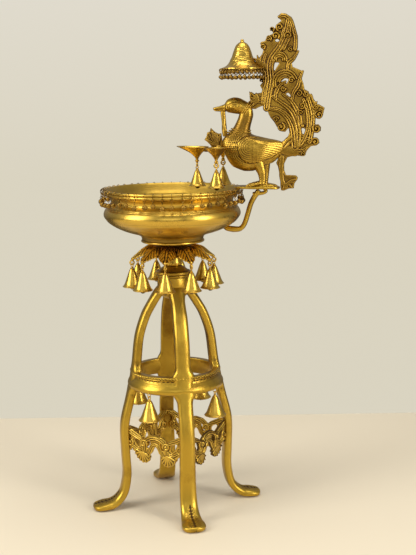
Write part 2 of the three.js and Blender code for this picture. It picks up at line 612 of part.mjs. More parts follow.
function makeCanopy() {
  const dome = turned(CANOPY, 20).translate(px(CANOPY_X), 0, RIM_LEVEL);
  node("canopy", solid(dome), GOLD);
  const hoop = turned([[29.4, FRINGE_LEVEL + 1.2], [31.2, FRINGE_LEVEL + 1], [31.2, FRINGE_LEVEL - 1],
    [29.4, FRINGE_LEVEL - 1]], 20);
  let body = solid(hoop);
  const bells = 24;
  for (let k = 0; k < bells; k++) {
    const ball = turned([[0, 0.5], [3.6, -7.5], [0, -11.5]], 4);
    body = body.add(solid(ball.translate(30.3, 0, FRINGE_LEVEL).rotateZ((2 * Math.PI * (k + 0.5)) / bells)));
  }
  const made = body.getMesh();
  const geometry = new THREE.BufferGeometry();
  geometry.setAttribute("position", new THREE.BufferAttribute(new Float32Array(made.vertProperties), 3));
  geometry.setIndex(new THREE.BufferAttribute(made.triVerts, 1));
  node("canopy_ghungroos", solid(geometry.translate(px(CANOPY_X), 0, RIM_LEVEL)), OLD);
}

// Wick cups: a spouted teardrop basin on a short stem that ends in an eye.
const CUP_REACH = 33.5;
const CUP_X = -29.5;
const CUP_TOP = 60.5;

function cupForm(extra) {
  const sides = 12;
  const ringAt = (share, drop, inset) =>
    Array.from({ length: sides }, (_, k) => {
      const angle = (2 * Math.PI * k) / sides;
      const spout = Math.max(0, Math.cos(angle)) ** 3;
      const r = (17 + 12.6 * spout * share) * share - inset + extra;
      return vec(Math.cos(angle) * r, Math.sin(angle) * r, -drop);
    });
  const outside = [ringAt(1, 0, 0), ringAt(0.68, 5.6, 0), ringAt(0.3, 12.4, 0), ringAt(0.15, 17.5, 0)];
  const inside = [ringAt(0.24, 11.5, 0.8), ringAt(0.54, 7, 0.8), ringAt(0.94, 0, 0.4)];
  if (extra > 0) return skin(outside);
  return skin([[vec(0, 0, -17.5)], ...outside.reverse(), ringAt(0.94, 0, 0.4),
    ...inside.slice(0, 2).reverse(),
    [vec(0, 0, -12)]]);
}

const cupTurns = { left: 180, front: 270, back: 90 };

function makeCups() {
  for (const [side, turn] of Object.entries(cupTurns)) {
    const reach = (g) => g.translate(CUP_REACH, 0, 0).rotateZ(rad(turn));
    const place = (g) => reach(g).translate(px(CUP_X), 0, pz(CUP_TOP));
    const stem = turned([[0, -16.5], [2.6, -16.5], [1.9, -19], [3, -21], [2, -23.4], [0, -23.4]], 6);
    const eye = wireRing(EYE_RADIUS, EYE_WIRE).rotateZ(Math.PI / 2).translate(0, 0, -25.6);
    node("lamp_cup_" + side, joined(place(cupForm(0)), place(stem), place(eye)), GOLD);
    const pivot = -25.6 - EYE_RADIUS * HEX + EYE_WIRE + WIRE + GAP;
    makeBell("lamp_" + side, LAMP_BELL, (g) => place(g.translate(0, 0, pivot)));
  }
}

// Leaf standing over a three-armed spider that holds the cups against the bird's breast.
function makeLampLeaf() {
  const leaf = plate(at([[-25, 60], [-26.6, 79.5], [-35.5, 81], [-42, 87], [-51.5, 70],
    [-44, 63.6], [-40, 60]]), 4);
  let body = solid(leaf);
  for (const turn of Object.values(cupTurns)) {
    const arm = plate([[0, -3.5], [CUP_REACH - 8, -3], [CUP_REACH - 8, 0.8], [0, 3]], 6);
    body = body.add(solid(arm.rotateZ(rad(turn)).translate(px(CUP_X), 0, pz(CUP_TOP - 2))));
  }
  const block = turned([[0, -5], [6, -5], [6, 3.5], [0, 3.5]], 12).translate(px(CUP_X), 0, pz(CUP_TOP - 1));
  body = body.add(solid(block)).subtract(birdForm(GAP));
  for (const turn of Object.values(cupTurns)) {
    const room = cupForm(GAP * 1.4).translate(CUP_REACH, 0, 0).rotateZ(rad(turn));
    body = body.subtract(solid(room.translate(px(CUP_X), 0, pz(CUP_TOP))));
  }
  node("lamp_leaf", body, OLD);
  const rod = turned([[0, 75], [3, 75], [3.3, 86], [2.7, 97], [3, 112], [0, 112]], 8).rotateY(rad(-5));
  const fixed = rod.translate(px(-22.5) + 0.087 * 94, 0, pz(0));
  node("beak_rod", solid(fixed).subtract(birdForm(GAP)), OLD);
}

makeLegs();
makeBand();
makeFrets();
node("leg_hub", solid(hubForm()), GOLD);
makeCrown();
makeBayBells();
makeBowl();
makeRimBells();
makeShelf();
makeBird();
makePlume();
makeCanopy();
makeCups();
makeLampLeaf();

const bounds = new THREE.Box3().setFromObject(root);
const centre = bounds.getCenter(vec(0, 0, 0));
root.position.set(-centre.x, -centre.y, -bounds.min.z);

export default root;
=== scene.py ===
# %% [markdown]
# # A standing brass oil lamp (samai), looked at up close
# The CAD model gives every casting its place, size and motion. This script keeps that frame
# and gives each casting the surface it has in real life: turned beads, cast scrolls, chased
# feathers, hammer marks, and brown patina in the hollows, which is also painted there as shade.

import json
import math

import bmesh
import bpy
import numpy as np
from mathutils import Matrix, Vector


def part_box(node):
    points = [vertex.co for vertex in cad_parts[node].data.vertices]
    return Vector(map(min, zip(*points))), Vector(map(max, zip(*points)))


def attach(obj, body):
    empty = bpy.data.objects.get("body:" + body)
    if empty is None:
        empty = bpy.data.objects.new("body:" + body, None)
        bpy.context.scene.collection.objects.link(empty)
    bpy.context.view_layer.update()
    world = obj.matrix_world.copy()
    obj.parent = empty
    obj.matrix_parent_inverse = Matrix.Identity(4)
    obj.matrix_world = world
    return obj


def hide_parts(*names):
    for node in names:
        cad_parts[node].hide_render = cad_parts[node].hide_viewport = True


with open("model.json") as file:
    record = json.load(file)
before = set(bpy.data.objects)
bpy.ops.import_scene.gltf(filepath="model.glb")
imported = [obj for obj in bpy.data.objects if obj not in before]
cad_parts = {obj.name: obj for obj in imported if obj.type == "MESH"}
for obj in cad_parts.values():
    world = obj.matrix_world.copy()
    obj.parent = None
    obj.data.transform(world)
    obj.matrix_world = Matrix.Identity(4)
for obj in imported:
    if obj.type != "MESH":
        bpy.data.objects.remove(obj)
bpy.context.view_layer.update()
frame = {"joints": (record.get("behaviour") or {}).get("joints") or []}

# %% [markdown]
# The bowl is turned round the stand's own axis, so the middle of its box says where that
# axis is. All shapes below are worked out in millimetres from that axis and the floor.

# %% The stand's axis
bowl_low, bowl_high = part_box("bowl")
AXIS_X = (bowl_low.x + bowl_high.x) * 500.0
RIM_Z = bowl_high.z * 1000.0
BOWL_R = (bowl_high.x - bowl_low.x) * 500.0 + 0.4
FLOOR_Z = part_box("leg_front")[0].z * 1000.0
print("axis at x", round(AXIS_X, 2), "rim at", round(RIM_Z, 2))


def row(points):
    """Millimetres from the stand's axis turned into metres in the row frame: shift in x, then scale."""
    return (np.asarray(points, float) + np.array([AXIS_X, 0.0, 0.0])) / 1000.0


# %% [markdown]
# The camera stands about a metre and a half away at the height of the canopy and looks
# slightly down, so the bowl's rim reads as a thin oval and the feet spread on the floor.

# %% Camera
CAMERA_AT = (311.2, -1587.5, 630.3)
HEADING = math.radians(10.0) - 0.0128
PITCH = math.pi / 2 - 0.1711
ROLL = -0.0144
camera_data = bpy.data.cameras.new("camera")
camera_data.lens = 71.2
camera_data.sensor_width = 36.0
camera_data.clip_end = 50.0
camera = bpy.data.objects.new("camera", camera_data)
bpy.context.scene.collection.objects.link(camera)
turn = Matrix.Rotation(HEADING, 4, "Z") @ Matrix.Rotation(PITCH, 4, "X") @ Matrix.Rotation(ROLL, 4, "Z")
camera.matrix_world = Matrix.Translation(row(CAMERA_AT)) @ turn
bpy.context.scene.camera = camera
print("camera at", [round(v, 3) for v in row(CAMERA_AT)])

# %% [markdown]
# Brass is judged by what it mirrors. One big soft panel from the left, a narrower one from
# the right and one overhead put pale bands on the turned shapes, and the dimmer space
# between them leaves the warm brown that makes the metal look deep.

# %% Light, floor and air


def softbox(name, at, look, size, power, colour=(1.0, 0.97, 0.92)):
    """Rectangular area light at one point, turned so that its face looks at another."""
    data = bpy.data.lights.new(name, "AREA")
    data.shape = "RECTANGLE"
    data.size, data.size_y = size
    data.energy = power
    data.color = colour
    lamp = bpy.data.objects.new(name, data)
    bpy.context.scene.collection.objects.link(lamp)
    lamp.location = at
    aim = Matrix.Translation(look).to_translation() - Matrix.Translation(at).to_translation()
    lamp.rotation_euler = aim.to_track_quat("-Z", "Y").to_euler()
    return lamp


softbox("left_panel", (-1.5, -1.1, 1.15), (0, 0, 0.4), (0.9, 1.3), 27)
softbox("right_panel", (1.7, -0.9, 0.9), (0, 0, 0.4), (0.5, 1.2), 23)
softbox("top_panel", (0.1, -0.2, 2.1), (0, 0, 0.3), (1.3, 1.0), 20)
softbox("front_fill", (0.3, -2.6, 1.2), (0, 0, 0.4), (1.6, 1.0), 7)

bpy.context.scene.view_settings.view_transform = "Standard"
world = bpy.data.worlds.new("studio")
bpy.context.scene.world = world
world.use_nodes = True
wn, wl = world.node_tree.nodes, world.node_tree.links
wn.clear()
sky_out = wn.new("ShaderNodeOutputWorld")
wall = wn.new("ShaderNodeBackground")
wall.inputs["Strength"].default_value = 1.0
room = wn.new("ShaderNodeBackground")
room.inputs["Strength"].default_value = 0.42
ramp = wn.new("ShaderNodeValToRGB")
ramp.color_ramp.elements[0].position = 0.30
ramp.color_ramp.elements[0].color = (0.16, 0.13, 0.09, 1)
ramp.color_ramp.elements[1].position = 0.72
ramp.color_ramp.elements[1].color = (0.92, 0.90, 0.86, 1)
way = wn.new("ShaderNodeTexCoord")
split = wn.new("ShaderNodeSeparateXYZ")
half = wn.new("ShaderNodeMath")
half.operation = "MULTIPLY_ADD"
half.inputs[1].default_value = 0.5
half.inputs[2].default_value = 0.5
seen = wn.new("ShaderNodeLightPath")
choose = wn.new("ShaderNodeMixShader")
wl.new(way.outputs["Generated"], split.inputs[0])
wl.new(split.outputs["Z"], half.inputs[0])
wl.new(half.outputs[0], ramp.inputs["Fac"])
wl.new(ramp.outputs["Color"], room.inputs["Color"])
paint = wn.new("ShaderNodeValToRGB")
paint.color_ramp.elements[0].position = 0.46
paint.color_ramp.elements[0].color = (0.70, 0.655, 0.53, 1)
paint.color_ramp.elements[1].position = 0.62
paint.color_ramp.elements[1].color = (0.79, 0.755, 0.685, 1)
wl.new(half.outputs[0], paint.inputs["Fac"])
wl.new(paint.outputs["Color"], wall.inputs["Color"])
wl.new(seen.outputs["Is Camera Ray"], choose.inputs["Fac"])
wl.new(room.outputs[0], choose.inputs[1])
wl.new(wall.outputs[0], choose.inputs[2])
wl.new(choose.outputs[0], sky_out.inputs["Surface"])


# %% [markdown]
# ## Helpers that make surfaces
# Every piece is either a grid of points (a function of two parameters) or a flat relief
# whose thickness is a function of two parameters. A smooth curve through a few measured
# points is the usual start.

# %% Curves


def curve(points, count, closed=False):
    """Catmull-Rom curve: between two knots the point is a cubic blend of them and their neighbours."""
    p = np.asarray(points, float)
    n = len(p)
    t = np.linspace(0, n if closed else n - 1, count, endpoint=not closed)
    i = np.minimum(t.astype(int), n - 1 if closed else n - 2)
    u = (t - i)[:, None]
    if closed:
        a, b, c, d = p[(i - 1) % n], p[i % n], p[(i + 1) % n], p[(i + 2) % n]
    else:
        a, b, c, d = p[np.maximum(i - 1, 0)], p[i], p[i + 1], p[np.minimum(i + 2, n - 1)]
    return 0.5 * (2 * b + (c - a) * u + (2 * a - 5 * b + 4 * c - d) * u**2 + (3 * b - a - 3 * c + d) * u**3)


def smoothstep(x, low, high):
    """0 below low, 1 above high, and an S-shaped cubic between."""
    t = np.clip((x - low) / (high - low), 0, 1)
    return t * t * (3 - 2 * t)


# %% [markdown]
# A mesh is built from several grids at once, because a casting is often a turned body plus
# loops or leaves. Coincident points are merged, so seams and poles close, and the normals
# are worked out again. Each vertex then gets a number called recess: how hollow the surface
# is there. Where it is high, brown is painted in, partly as patina and partly as painted shade
# of the hollow; where it is low, polish wears through.

# %% Meshes
SMOOTH_ROUNDS = 7
HOLLOW_DEPTH = 0.00042


def recess_of(mesh):
    """Hollowness: smooth a copy of the points by averaging neighbours a few times; where the smooth copy lies
    outside the real surface, along the normal, the place is a hollow, and where it lies inside, a ridge."""
    count = len(mesh.vertices)
    co, normal = np.zeros(count * 3), np.zeros(count * 3)
    mesh.vertices.foreach_get("co", co)
    mesh.vertices.foreach_get("normal", normal)
    co, normal = co.reshape(-1, 3), normal.reshape(-1, 3)
    edges = np.zeros(len(mesh.edges) * 2, int)
    mesh.edges.foreach_get("vertices", edges)
    a, b = edges.reshape(-1, 2).T
    weight = np.bincount(a, minlength=count) + np.bincount(b, minlength=count) + 1e-9

    def spread(values):
        """Each value pulled seven tenths of the way to the mean of its neighbours."""
        total = np.bincount(a, values[b], count) + np.bincount(b, values[a], count)
        return 0.3 * values + 0.7 * total / weight

    smooth = co.copy()
    for _ in range(SMOOTH_ROUNDS):
        smooth = np.stack([spread(smooth[:, k]) for k in range(3)], 1)
    hollow = ((smooth - co) * normal).sum(1) / HOLLOW_DEPTH
    return np.clip(hollow, -1, 1)


def build(name, grids, material, body, stands_for=(), flat=()):
    """One object from grids of points, each (array of rows x columns x 3, closed along rows, closed along columns)."""
    verts, quads, start = [], [], 0
    for points, loop_u, loop_v in grids:
        nu, nv = points.shape[:2]
        u = np.arange(nu if loop_u else nu - 1)
        v = np.arange(nv if loop_v else nv - 1)
        iu, iv = np.meshgrid(u, v, indexing="ij")
        ju, jv = (iu + 1) % nu, (iv + 1) % nv
        cells = np.stack([iu * nv + iv, ju * nv + iv, ju * nv + jv, iu * nv + jv], -1).reshape(-1, 4)
        verts.append(points.reshape(-1, 3))
        quads.append(cells + start)
        start += nu * nv
    for points, faces in flat:
        verts.append(points)
        quads.append(faces + start)
        start += len(points)
    mesh = bpy.data.meshes.new(name)
    mesh.from_pydata(row(np.concatenate(verts)), [], np.concatenate(quads).tolist())
    bm = bmesh.new()
    bm.from_mesh(mesh)
    bmesh.ops.remove_doubles(bm, verts=bm.verts, dist=4e-6)
    bmesh.ops.dissolve_degenerate(bm, edges=bm.edges, dist=1e-7)
    bmesh.ops.recalc_face_normals(bm, faces=bm.faces)
    bm.to_mesh(mesh)
    bm.free()
    mesh.polygons.foreach_set("use_smooth", np.ones(len(mesh.polygons), bool))
    mesh.set_sharp_from_angle(angle=math.radians(50 if grids else 120))
    mesh.attributes.new("recess", "FLOAT", "POINT").data.foreach_set("value", recess_of(mesh))
    piece = bpy.data.objects.new(name, mesh)
    bpy.context.scene.collection.objects.link(piece)
    mesh.materials.append(material)
    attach(piece, body)
    if stands_for:
        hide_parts(*stands_for)
    print(name, len(mesh.polygons), "faces")
    return piece


# %% [markdown]
# Three ways to make a grid cover most of the lamp: turn a profile round an axis, carry a
# section along a path, and stack ovals.

# %% Turning, tubes and ovals


def turned(profile, sides=96, ripple=None):
    """Surface of revolution: (r, z) of the profile spun round z; ripple(r, z, angle) adds to the radius."""
    p = np.asarray(profile, float)
    angle = np.linspace(0, 2 * np.pi, sides, endpoint=False)
    r, a = np.meshgrid(p[:, 0], angle, indexing="ij")
    z = np.repeat(p[:, 1][:, None], sides, 1)
    if ripple is not None:
        r = r + ripple(r, z, a)
    closed = p[0, 0] > 0
    return np.stack([r * np.cos(a), r * np.sin(a), z], -1), closed, True


def tube(path, radius, sides=10, up=(0, 1, 0), flat=1.0, closed=False, twist=None):
    """Round or oval section carried along a path; its two half widths are radius, and radius x flat along up."""
    p = np.asarray(path, float)
    n = len(p)
    if closed:
        along = np.roll(p, -1, 0) - np.roll(p, 1, 0)
    else:
        along = np.gradient(p, axis=0)
    along /= np.linalg.norm(along, axis=1)[:, None]
    side = np.cross(np.asarray(up, float), along)
    side /= np.linalg.norm(side, axis=1)[:, None] + 1e-12
    lift = np.cross(along, side)
    radius = np.broadcast_to(np.asarray(radius, float), (n,))[:, None, None]
    a = np.linspace(0, 2 * np.pi, sides, endpoint=False)[None, :, None]
    swell = 1.0 if twist is None else twist(np.linspace(0, 1, n)[:, None, None], a)
    ring = side[:, None] * np.cos(a) * radius * swell + lift[:, None] * np.sin(a) * radius * swell * flat
    grid = p[:, None] + ring
    if not closed:
        first = np.repeat(p[:1, None], sides, 1)
        last = np.repeat(p[-1:, None], sides, 1)
        grid = np.concatenate([first, grid, last])
    return grid, closed, True


def ring(centre, radius, wire, plane="yz", sides=8, steps=28, stretch=1.0):
    """Torus: a wire section carried round a circle (or an oval, by stretch along z) in the named plane."""
    a = np.linspace(0, 2 * np.pi, steps, endpoint=False)
    c, s, o = radius * np.cos(a), radius * stretch * np.sin(a), np.zeros(steps)
    path = {"yz": (o, c, s), "xz": (c, o, s), "xy": (c, s, o)}[plane]
    up = {"yz": (1, 0, 0), "xz": (0, 1, 0), "xy": (0, 0, 1)}[plane]
    return tube(np.stack(path, 1) + np.asarray(centre, float), wire, sides, up, closed=True)


def ovals(stations, count, sides, axis="x", power=2.0):
    """Stack of ovals: [place, middle, half height, half width] along x or z, closed by a pole at both ends."""
    s = curve(stations, count)
    a = np.linspace(0, 2 * np.pi, sides, endpoint=False)
    c = np.sign(np.cos(a)) * np.abs(np.cos(a)) ** (2 / power)
    n = np.sign(np.sin(a)) * np.abs(np.sin(a)) ** (2 / power)
    place = np.repeat(s[:, :1], sides, 1)
    middle = s[:, 1:2] + s[:, 2:3] * n
    wide = s[:, 3:4] * c
    grid = np.stack([place, wide, middle] if axis == "x" else [middle, wide, place], -1)
    first = np.repeat(grid[:1].mean(1, keepdims=True), sides, 1)
    last = np.repeat(grid[-1:].mean(1, keepdims=True), sides, 1)
    return np.concatenate([first, grid, last]), False, True


def spin(grid, degrees, shift=(0, 0, 0)):
    """Shift a grid and then turn it round the stand's axis."""
    points, loop_u, loop_v = grid
    c, s = math.cos(math.radians(degrees)), math.sin(math.radians(degrees))
    p = points + np.asarray(shift, float)
    return np.stack([p[..., 0] * c - p[..., 1] * s, p[..., 0] * s + p[..., 1] * c, p[..., 2]],
        -1), loop_u, loop_v


def moved(grid, shift):
    """The same grid with one vector added to every point."""
    return grid[0] + np.asarray(shift, float), grid[1], grid[2]


# %% [markdown]
# The plume, the four frets and the leaf behind the cups are flat castings in relief. Their
# thickness is a function of x and z: scrolling strands with a rounded, ribbed top lie on a
# thinner ground, and the ground ends at an outline. A strand's height depends on how far a
# point is from the strand's middle line, so it is found from the nearest point on the curve.

# %% Relief castings


def strand(points, widths, height, ribs=1, count=90):
    """Middle line, half width along it, height and number of ribs, ready for relief_field."""
    line = curve(points, count)
    w = np.interp(np.linspace(0, 1, count), np.linspace(0, 1, len(widths)), widths)
    return line, w, height, ribs


def scroll(cx, cz, radius, turns=1.4, start=90, hand=1, height=4.6, width=None):
    """Spiral that narrows towards its eye: radius falls evenly with angle."""
    t = np.linspace(0, 1, 70)
    a = math.radians(start) + hand * t * turns * 2 * np.pi
    r = radius * (1 - 0.86 * t)
    w = (width or radius * 0.3) * (1 - 0.45 * t)
    return np.stack([cx + r * np.cos(a), cz + r * np.sin(a)], 1), w, height, 1


def nearest(x, z, line):
    """Distance from each point to a polyline, which side it is on, and where along it is nearest."""
    a, b = line[:-1], line[1:]
    d = b - a
    ax, az = x[:, None] - a[:, 0], z[:, None] - a[:, 1]
    t = np.clip((ax * d[:, 0] + az * d[:, 1]) / ((d**2).sum(1) + 1e-9), 0, 1)
    ex, ez = ax - t * d[:, 0], az - t * d[:, 1]
    dist = ex**2 + ez**2
    k = dist.argmin(1)
    pick = np.arange(len(x))
    side = np.sign(d[k, 0] * az[pick, k] - d[k, 1] * ax[pick, k])
    return np.sqrt(dist[pick, k]), side, k + t[pick, k]


def inside_outline(x, z, outline):
    """Signed distance to a closed outline: positive inside, by counting crossings of a ray."""
    loop = np.asarray(outline, float)
    closed = np.concatenate([loop, loop[:1]])
    dist = nearest(x, z, closed)[0]
    a, b = closed[:-1], closed[1:]
    above = (a[:, 1] > z[:, None]) != (b[:, 1] > z[:, None])
    rise = np.where(np.abs(b[:, 1] - a[:, 1]) < 1e-9, 1e-9, b[:, 1] - a[:, 1])
    cross = a[:, 0] + (z[:, None] - a[:, 1]) * (b[:, 0] - a[:, 0]) / rise
    odd = (above & (x[:, None] < cross)).sum(1) % 2 == 1
    return np.where(odd, dist, -dist)


def relief_field(x, z, strands, outline, holes, ground):
    """Inside distance and half thickness: the ground within the outline, less holes, under the highest strand."""
    inside = inside_outline(x, z, outline)
    for hole in holes:
        inside = np.minimum(inside, -inside_outline(x, z, hole))
    high = np.full(x.shape, float(ground))
    for line, widths, height, ribs in strands:
        reach = widths.max()
        near = (
            (x > line[:, 0].min() - reach) & (x < line[:, 0].max() + reach)
            & (z > line[:, 1].min() - reach) & (z < line[:, 1].max() + reach)
        )
        if not near.any():
            continue
        d, side, at = nearest(x[near], z[near], line)
        w = np.interp(at, np.arange(len(widths)), widths)
        u = np.clip(d / w, 0, 1) * side
        comb = np.sin(np.pi * ribs * (u + 1) / 2) ** 2 if ribs > 1 else 1.0
        dome = np.sqrt(np.clip(1 - np.abs(u) ** 2.6, 0, 1))
        top = ground * 0.8 + (height - ground * 0.8) * dome * (0.45 + 0.55 * comb)
        high[near] = np.maximum(high[near], np.where(d < w, top, 0))
        inside[near] = np.maximum(inside[near], w - d)
    return inside, high


def relief(strands, outline, holes, step, ground=2.4, edge=1.7):
    """Grid of cells over the casting: points outside slide onto the edge, where front and back meet."""
    loop = np.asarray(outline, float)
    low, high_corner = loop.min(0) - 7, loop.max(0) + 7
    xs = np.arange(low[0], high_corner[0], step)
    zs = np.arange(low[1], high_corner[1], step)
    gx, gz = np.meshgrid(xs, zs, indexing="ij")
    f, h = relief_field(gx.ravel(), gz.ravel(), strands, outline, holes, ground)
    f, h = f.reshape(gx.shape), h.reshape(gx.shape)
    f[[0, -1], :] = -9
    f[:, [0, -1]] = -9
    dx, dz = np.gradient(f, step)
    steep = dx**2 + dz**2 + 1e-6
    slide = np.where(f <= 0, -f / steep, 0)
    slide = np.clip(slide, 0, 1.3 * step)
    px, pz = gx + slide * dx, gz + slide * dz
    thick = np.where(f > 0, h * np.sqrt(1 - (1 - np.clip(f / edge, 0, 1)) ** 2), 0)
    body = f > 0
    cell = body[:-1, :-1] | body[1:, :-1] | body[1:, 1:] | body[:-1, 1:]
    index = np.arange(gx.size).reshape(gx.shape)
    quads = np.stack([index[:-1, :-1], index[1:, :-1], index[1:, 1:], index[:-1, 1:]], -1)[cell]
    used = np.unique(quads)
    front = np.full(gx.size, -1)
    front[used] = np.arange(len(used))
    solid = used[body.ravel()[used]]
    back = front.copy()
    back[solid] = len(used) + np.arange(len(solid))
    px, pz, thick = px.ravel(), pz.ravel(), thick.ravel()
    points = np.concatenate([
        np.stack([px[used], -thick[used], pz[used]], 1),
        np.stack([px[solid], thick[solid], pz[solid]], 1),
    ])
    return points, np.concatenate([front[quads], back[quads][:, ::-1]])


# %% [markdown]
# ## Brass
# Old brass is one metal with three faces. Where hands rub, it is a clear yellow mirror.
# Where they don't, it tones to a deeper gold. In the hollows it turns brown: partly the patina
# that wax and soot leave, partly painted shade of the hollow. One node group works out these
# three from the recess number and from noise, so each material only says how strong each should be.

# %% Shader groups


def group(name, inputs, outputs):
    """An empty node group with named sockets, and its input and output nodes."""
    tree = bpy.data.node_groups.new(name, "ShaderNodeTree")
    for label, kind, default in inputs:
        socket = tree.interface.new_socket(name=label, in_out="INPUT", socket_type=kind)
        if default is not None:
            socket.default_value = default
    for label, kind in outputs:
        tree.interface.new_socket(name=label, in_out="OUTPUT", socket_type=kind)
    return tree, tree.nodes.new("NodeGroupInput"), tree.nodes.new("NodeGroupOutput")


def add(tree, kind, **settings):
    """One shader node of the kind named, with its settings applied."""
    node = tree.nodes.new("ShaderNode" + kind)
    for key, value in settings.items():
        setattr(node, key, value)
    return node


def join(tree, a, b):
    """A link from socket a to socket b."""
    tree.links.new(a, b)


def noise(tree, where, scale, detail=3.0, rough=0.55):
    """Fractal noise on object coordinates; scale is in bumps per metre, more or less."""
    node = add(tree, "TexNoise")
    join(tree, where, node.inputs["Vector"])
    if isinstance(scale, float):
        node.inputs["Scale"].default_value = scale
    else:
        join(tree, scale, node.inputs["Scale"])
    node.inputs["Detail"].default_value = detail
    node.inputs["Roughness"].default_value = rough
    return node.outputs["Fac"]


def remap(tree, value, low, high, to_low=0.0, to_high=1.0):
    """A value carried from one range to another along an S-shaped curve."""
    node = add(tree, "MapRange", interpolation_type="SMOOTHSTEP")
    join(tree, value, node.inputs["Value"])
    for label, number in (("From Min", low), ("From Max", high), ("To Min", to_low), ("To Max", to_high)):
        node.inputs[label].default_value = number
    return node.outputs["Result"]


def math_node(tree, operation, a, b=None, clamp=False):
    """One math node; each operand is a number or a socket."""
    node = add(tree, "Math", operation=operation, use_clamp=clamp)
    for socket, value in zip(node.inputs, (a, b)):
        if value is None:
            continue
        if isinstance(value, (int, float)):
            socket.default_value = value
        else:
            join(tree, value, socket)
    return node.outputs[0]


def blend(tree, amount, a, b):
    """Mix of two colours: a where amount is 0, b where it is 1."""
    node = add(tree, "Mix", data_type="RGBA")
    join(tree, amount, node.inputs["Factor"])
    for socket, value in ((node.inputs["A"], a), (node.inputs["B"], b)):
        if isinstance(value, tuple):
            socket.default_value = value
        else:
            join(tree, value, socket)
    return node.outputs["Result"]


# %% Patina and painted shade group
F, C = "NodeSocketFloat", "NodeSocketColor"
# Brown is the colour of the random specks and of the brown in the hollows, which is partly patina and partly painted
# shade.
patina, patina_in, patina_out = group(
    "brass_patina_and_painted_shade",
    [("Recess", F, 0.0), ("Shade And Patina", F, 0.5), ("Wear", F, 0.5), ("Tarnish", F, 0.5),
     ("Bright", C, (0.62, 0.400, 0.058, 1)), ("Deep", C, (0.37, 0.205, 0.014, 1)),
         ("Brown", C, (0.062, 0.025, 0.003, 1))],
    [("Color", C), ("Shade And Patina Mask", F), ("Wear Mask", F), ("Cloud", F)],
)
where = add(patina, "TexCoord").outputs["Object"]
cloud = remap(patina, noise(patina, where, 22.0, 4.0, 0.6), 0.34, 0.66)
grime = noise(patina, where, 210.0, 4.0, 0.65)
speck = remap(patina, noise(patina, where, 900.0, 2.0), 0.52, 0.72)
hollow = math_node(patina, "MULTIPLY", patina_in.outputs["Recess"], 2.2)
hollow = math_node(patina, "ADD", hollow,
    math_node(patina, "MULTIPLY", math_node(patina, "SUBTRACT", grime, 0.5), 0.26))
# Painted shade: brown laid into the hollows from the recess number, partly the patina of wax and soot there and partly
# the shade that falls in them.
shade_and_patina = math_node(patina, "MULTIPLY", remap(patina, hollow, 0.10, 0.95), patina_in.outputs["Shade And Patina"], True)
ridge = math_node(patina, "MULTIPLY", patina_in.outputs["Recess"], -2.4)
ridge = math_node(patina, "ADD", ridge, math_node(patina, "MULTIPLY",
    math_node(patina, "SUBTRACT", grime, 0.5), 0.4))
worn = math_node(patina, "MULTIPLY", remap(patina, ridge, 0.05, 0.6), patina_in.outputs["Wear"], True)
tone = math_node(patina, "MULTIPLY", cloud, patina_in.outputs["Tarnish"], True)
tone = math_node(patina, "SUBTRACT", tone, worn, True)
colour = blend(patina, tone, patina_in.outputs["Bright"], patina_in.outputs["Deep"])
spotted = math_node(patina, "MULTIPLY", speck, math_node(patina, "MULTIPLY", tone, 0.35), True)
colour = blend(patina, spotted, colour, patina_in.outputs["Brown"])
# The brown of the hollows goes on here: patina and painted shade together.
colour = blend(patina, shade_and_patina, colour, patina_in.outputs["Brown"])
join(patina, colour, patina_out.inputs["Color"])
join(patina, shade_and_patina, patina_out.inputs["Shade And Patina Mask"])
join(patina, worn, patina_out.inputs["Wear Mask"])
join(patina, cloud, patina_out.inputs["Cloud"])

# %% [markdown]
# The surface is never optically flat. Buffing leaves hair lines, casting leaves a faint
# orange peel, and a lathe leaves rings that run round the axis. A second group gives one
# height that mixes the three, for a Bump node in each material.

# %% Surface group
skin, skin_in, skin_out = group(
    "brass_surface",
    [("Peel", F, 0.3), ("Peel Scale", F, 320.0), ("Hair Lines", F, 0.2), ("Lathe", F, 0.0)],
    [("Height", F), ("Rough", F)],
)
where = add(skin, "TexCoord").outputs["Object"]
peel = noise(skin, where, skin_in.outputs["Peel Scale"], 3.0, 0.5)
stretch = add(skin, "Mapping")
stretch.inputs["Scale"].default_value = (300.0, 260.0, 4200.0)
stretch.inputs["Rotation"].default_value = (0.5, 0.35, 0.2)
join(skin, where, stretch.inputs["Vector"])
hair = noise(skin, stretch.outputs["Vector"], 1.0, 2.0, 0.6)
centre = add(skin, "Mapping")
centre.inputs["Location"].default_value = (-AXIS_X / 1000.0, 0, 0)
join(skin, where, centre.inputs["Vector"])
parts = add(skin, "SeparateXYZ")
join(skin, centre.outputs["Vector"], parts.inputs[0])
radius = math_node(skin, "SQRT", math_node(
    skin, "ADD", math_node(skin, "POWER", parts.outputs["X"], 2.0),
        math_node(skin, "POWER", parts.outputs["Y"], 2.0)))
round_line = add(skin, "CombineXYZ")
join(skin, radius, round_line.inputs["X"])
join(skin, parts.outputs["Z"], round_line.inputs["Z"])
rings = noise(skin, round_line.outputs[0], 1500.0, 2.0, 0.7)
height = math_node(skin, "MULTIPLY", peel, skin_in.outputs["Peel"])
height = math_node(skin, "ADD", height, math_node(skin, "MULTIPLY", hair, skin_in.outputs["Hair Lines"]))
height = math_node(skin, "ADD", height, math_node(skin, "MULTIPLY", rings, skin_in.outputs["Lathe"]))
join(skin, height, skin_out.inputs["Height"])
join(skin, math_node(skin, "MULTIPLY", math_node(skin, "ADD", peel, hair), 0.5), skin_out.inputs["Rough"])
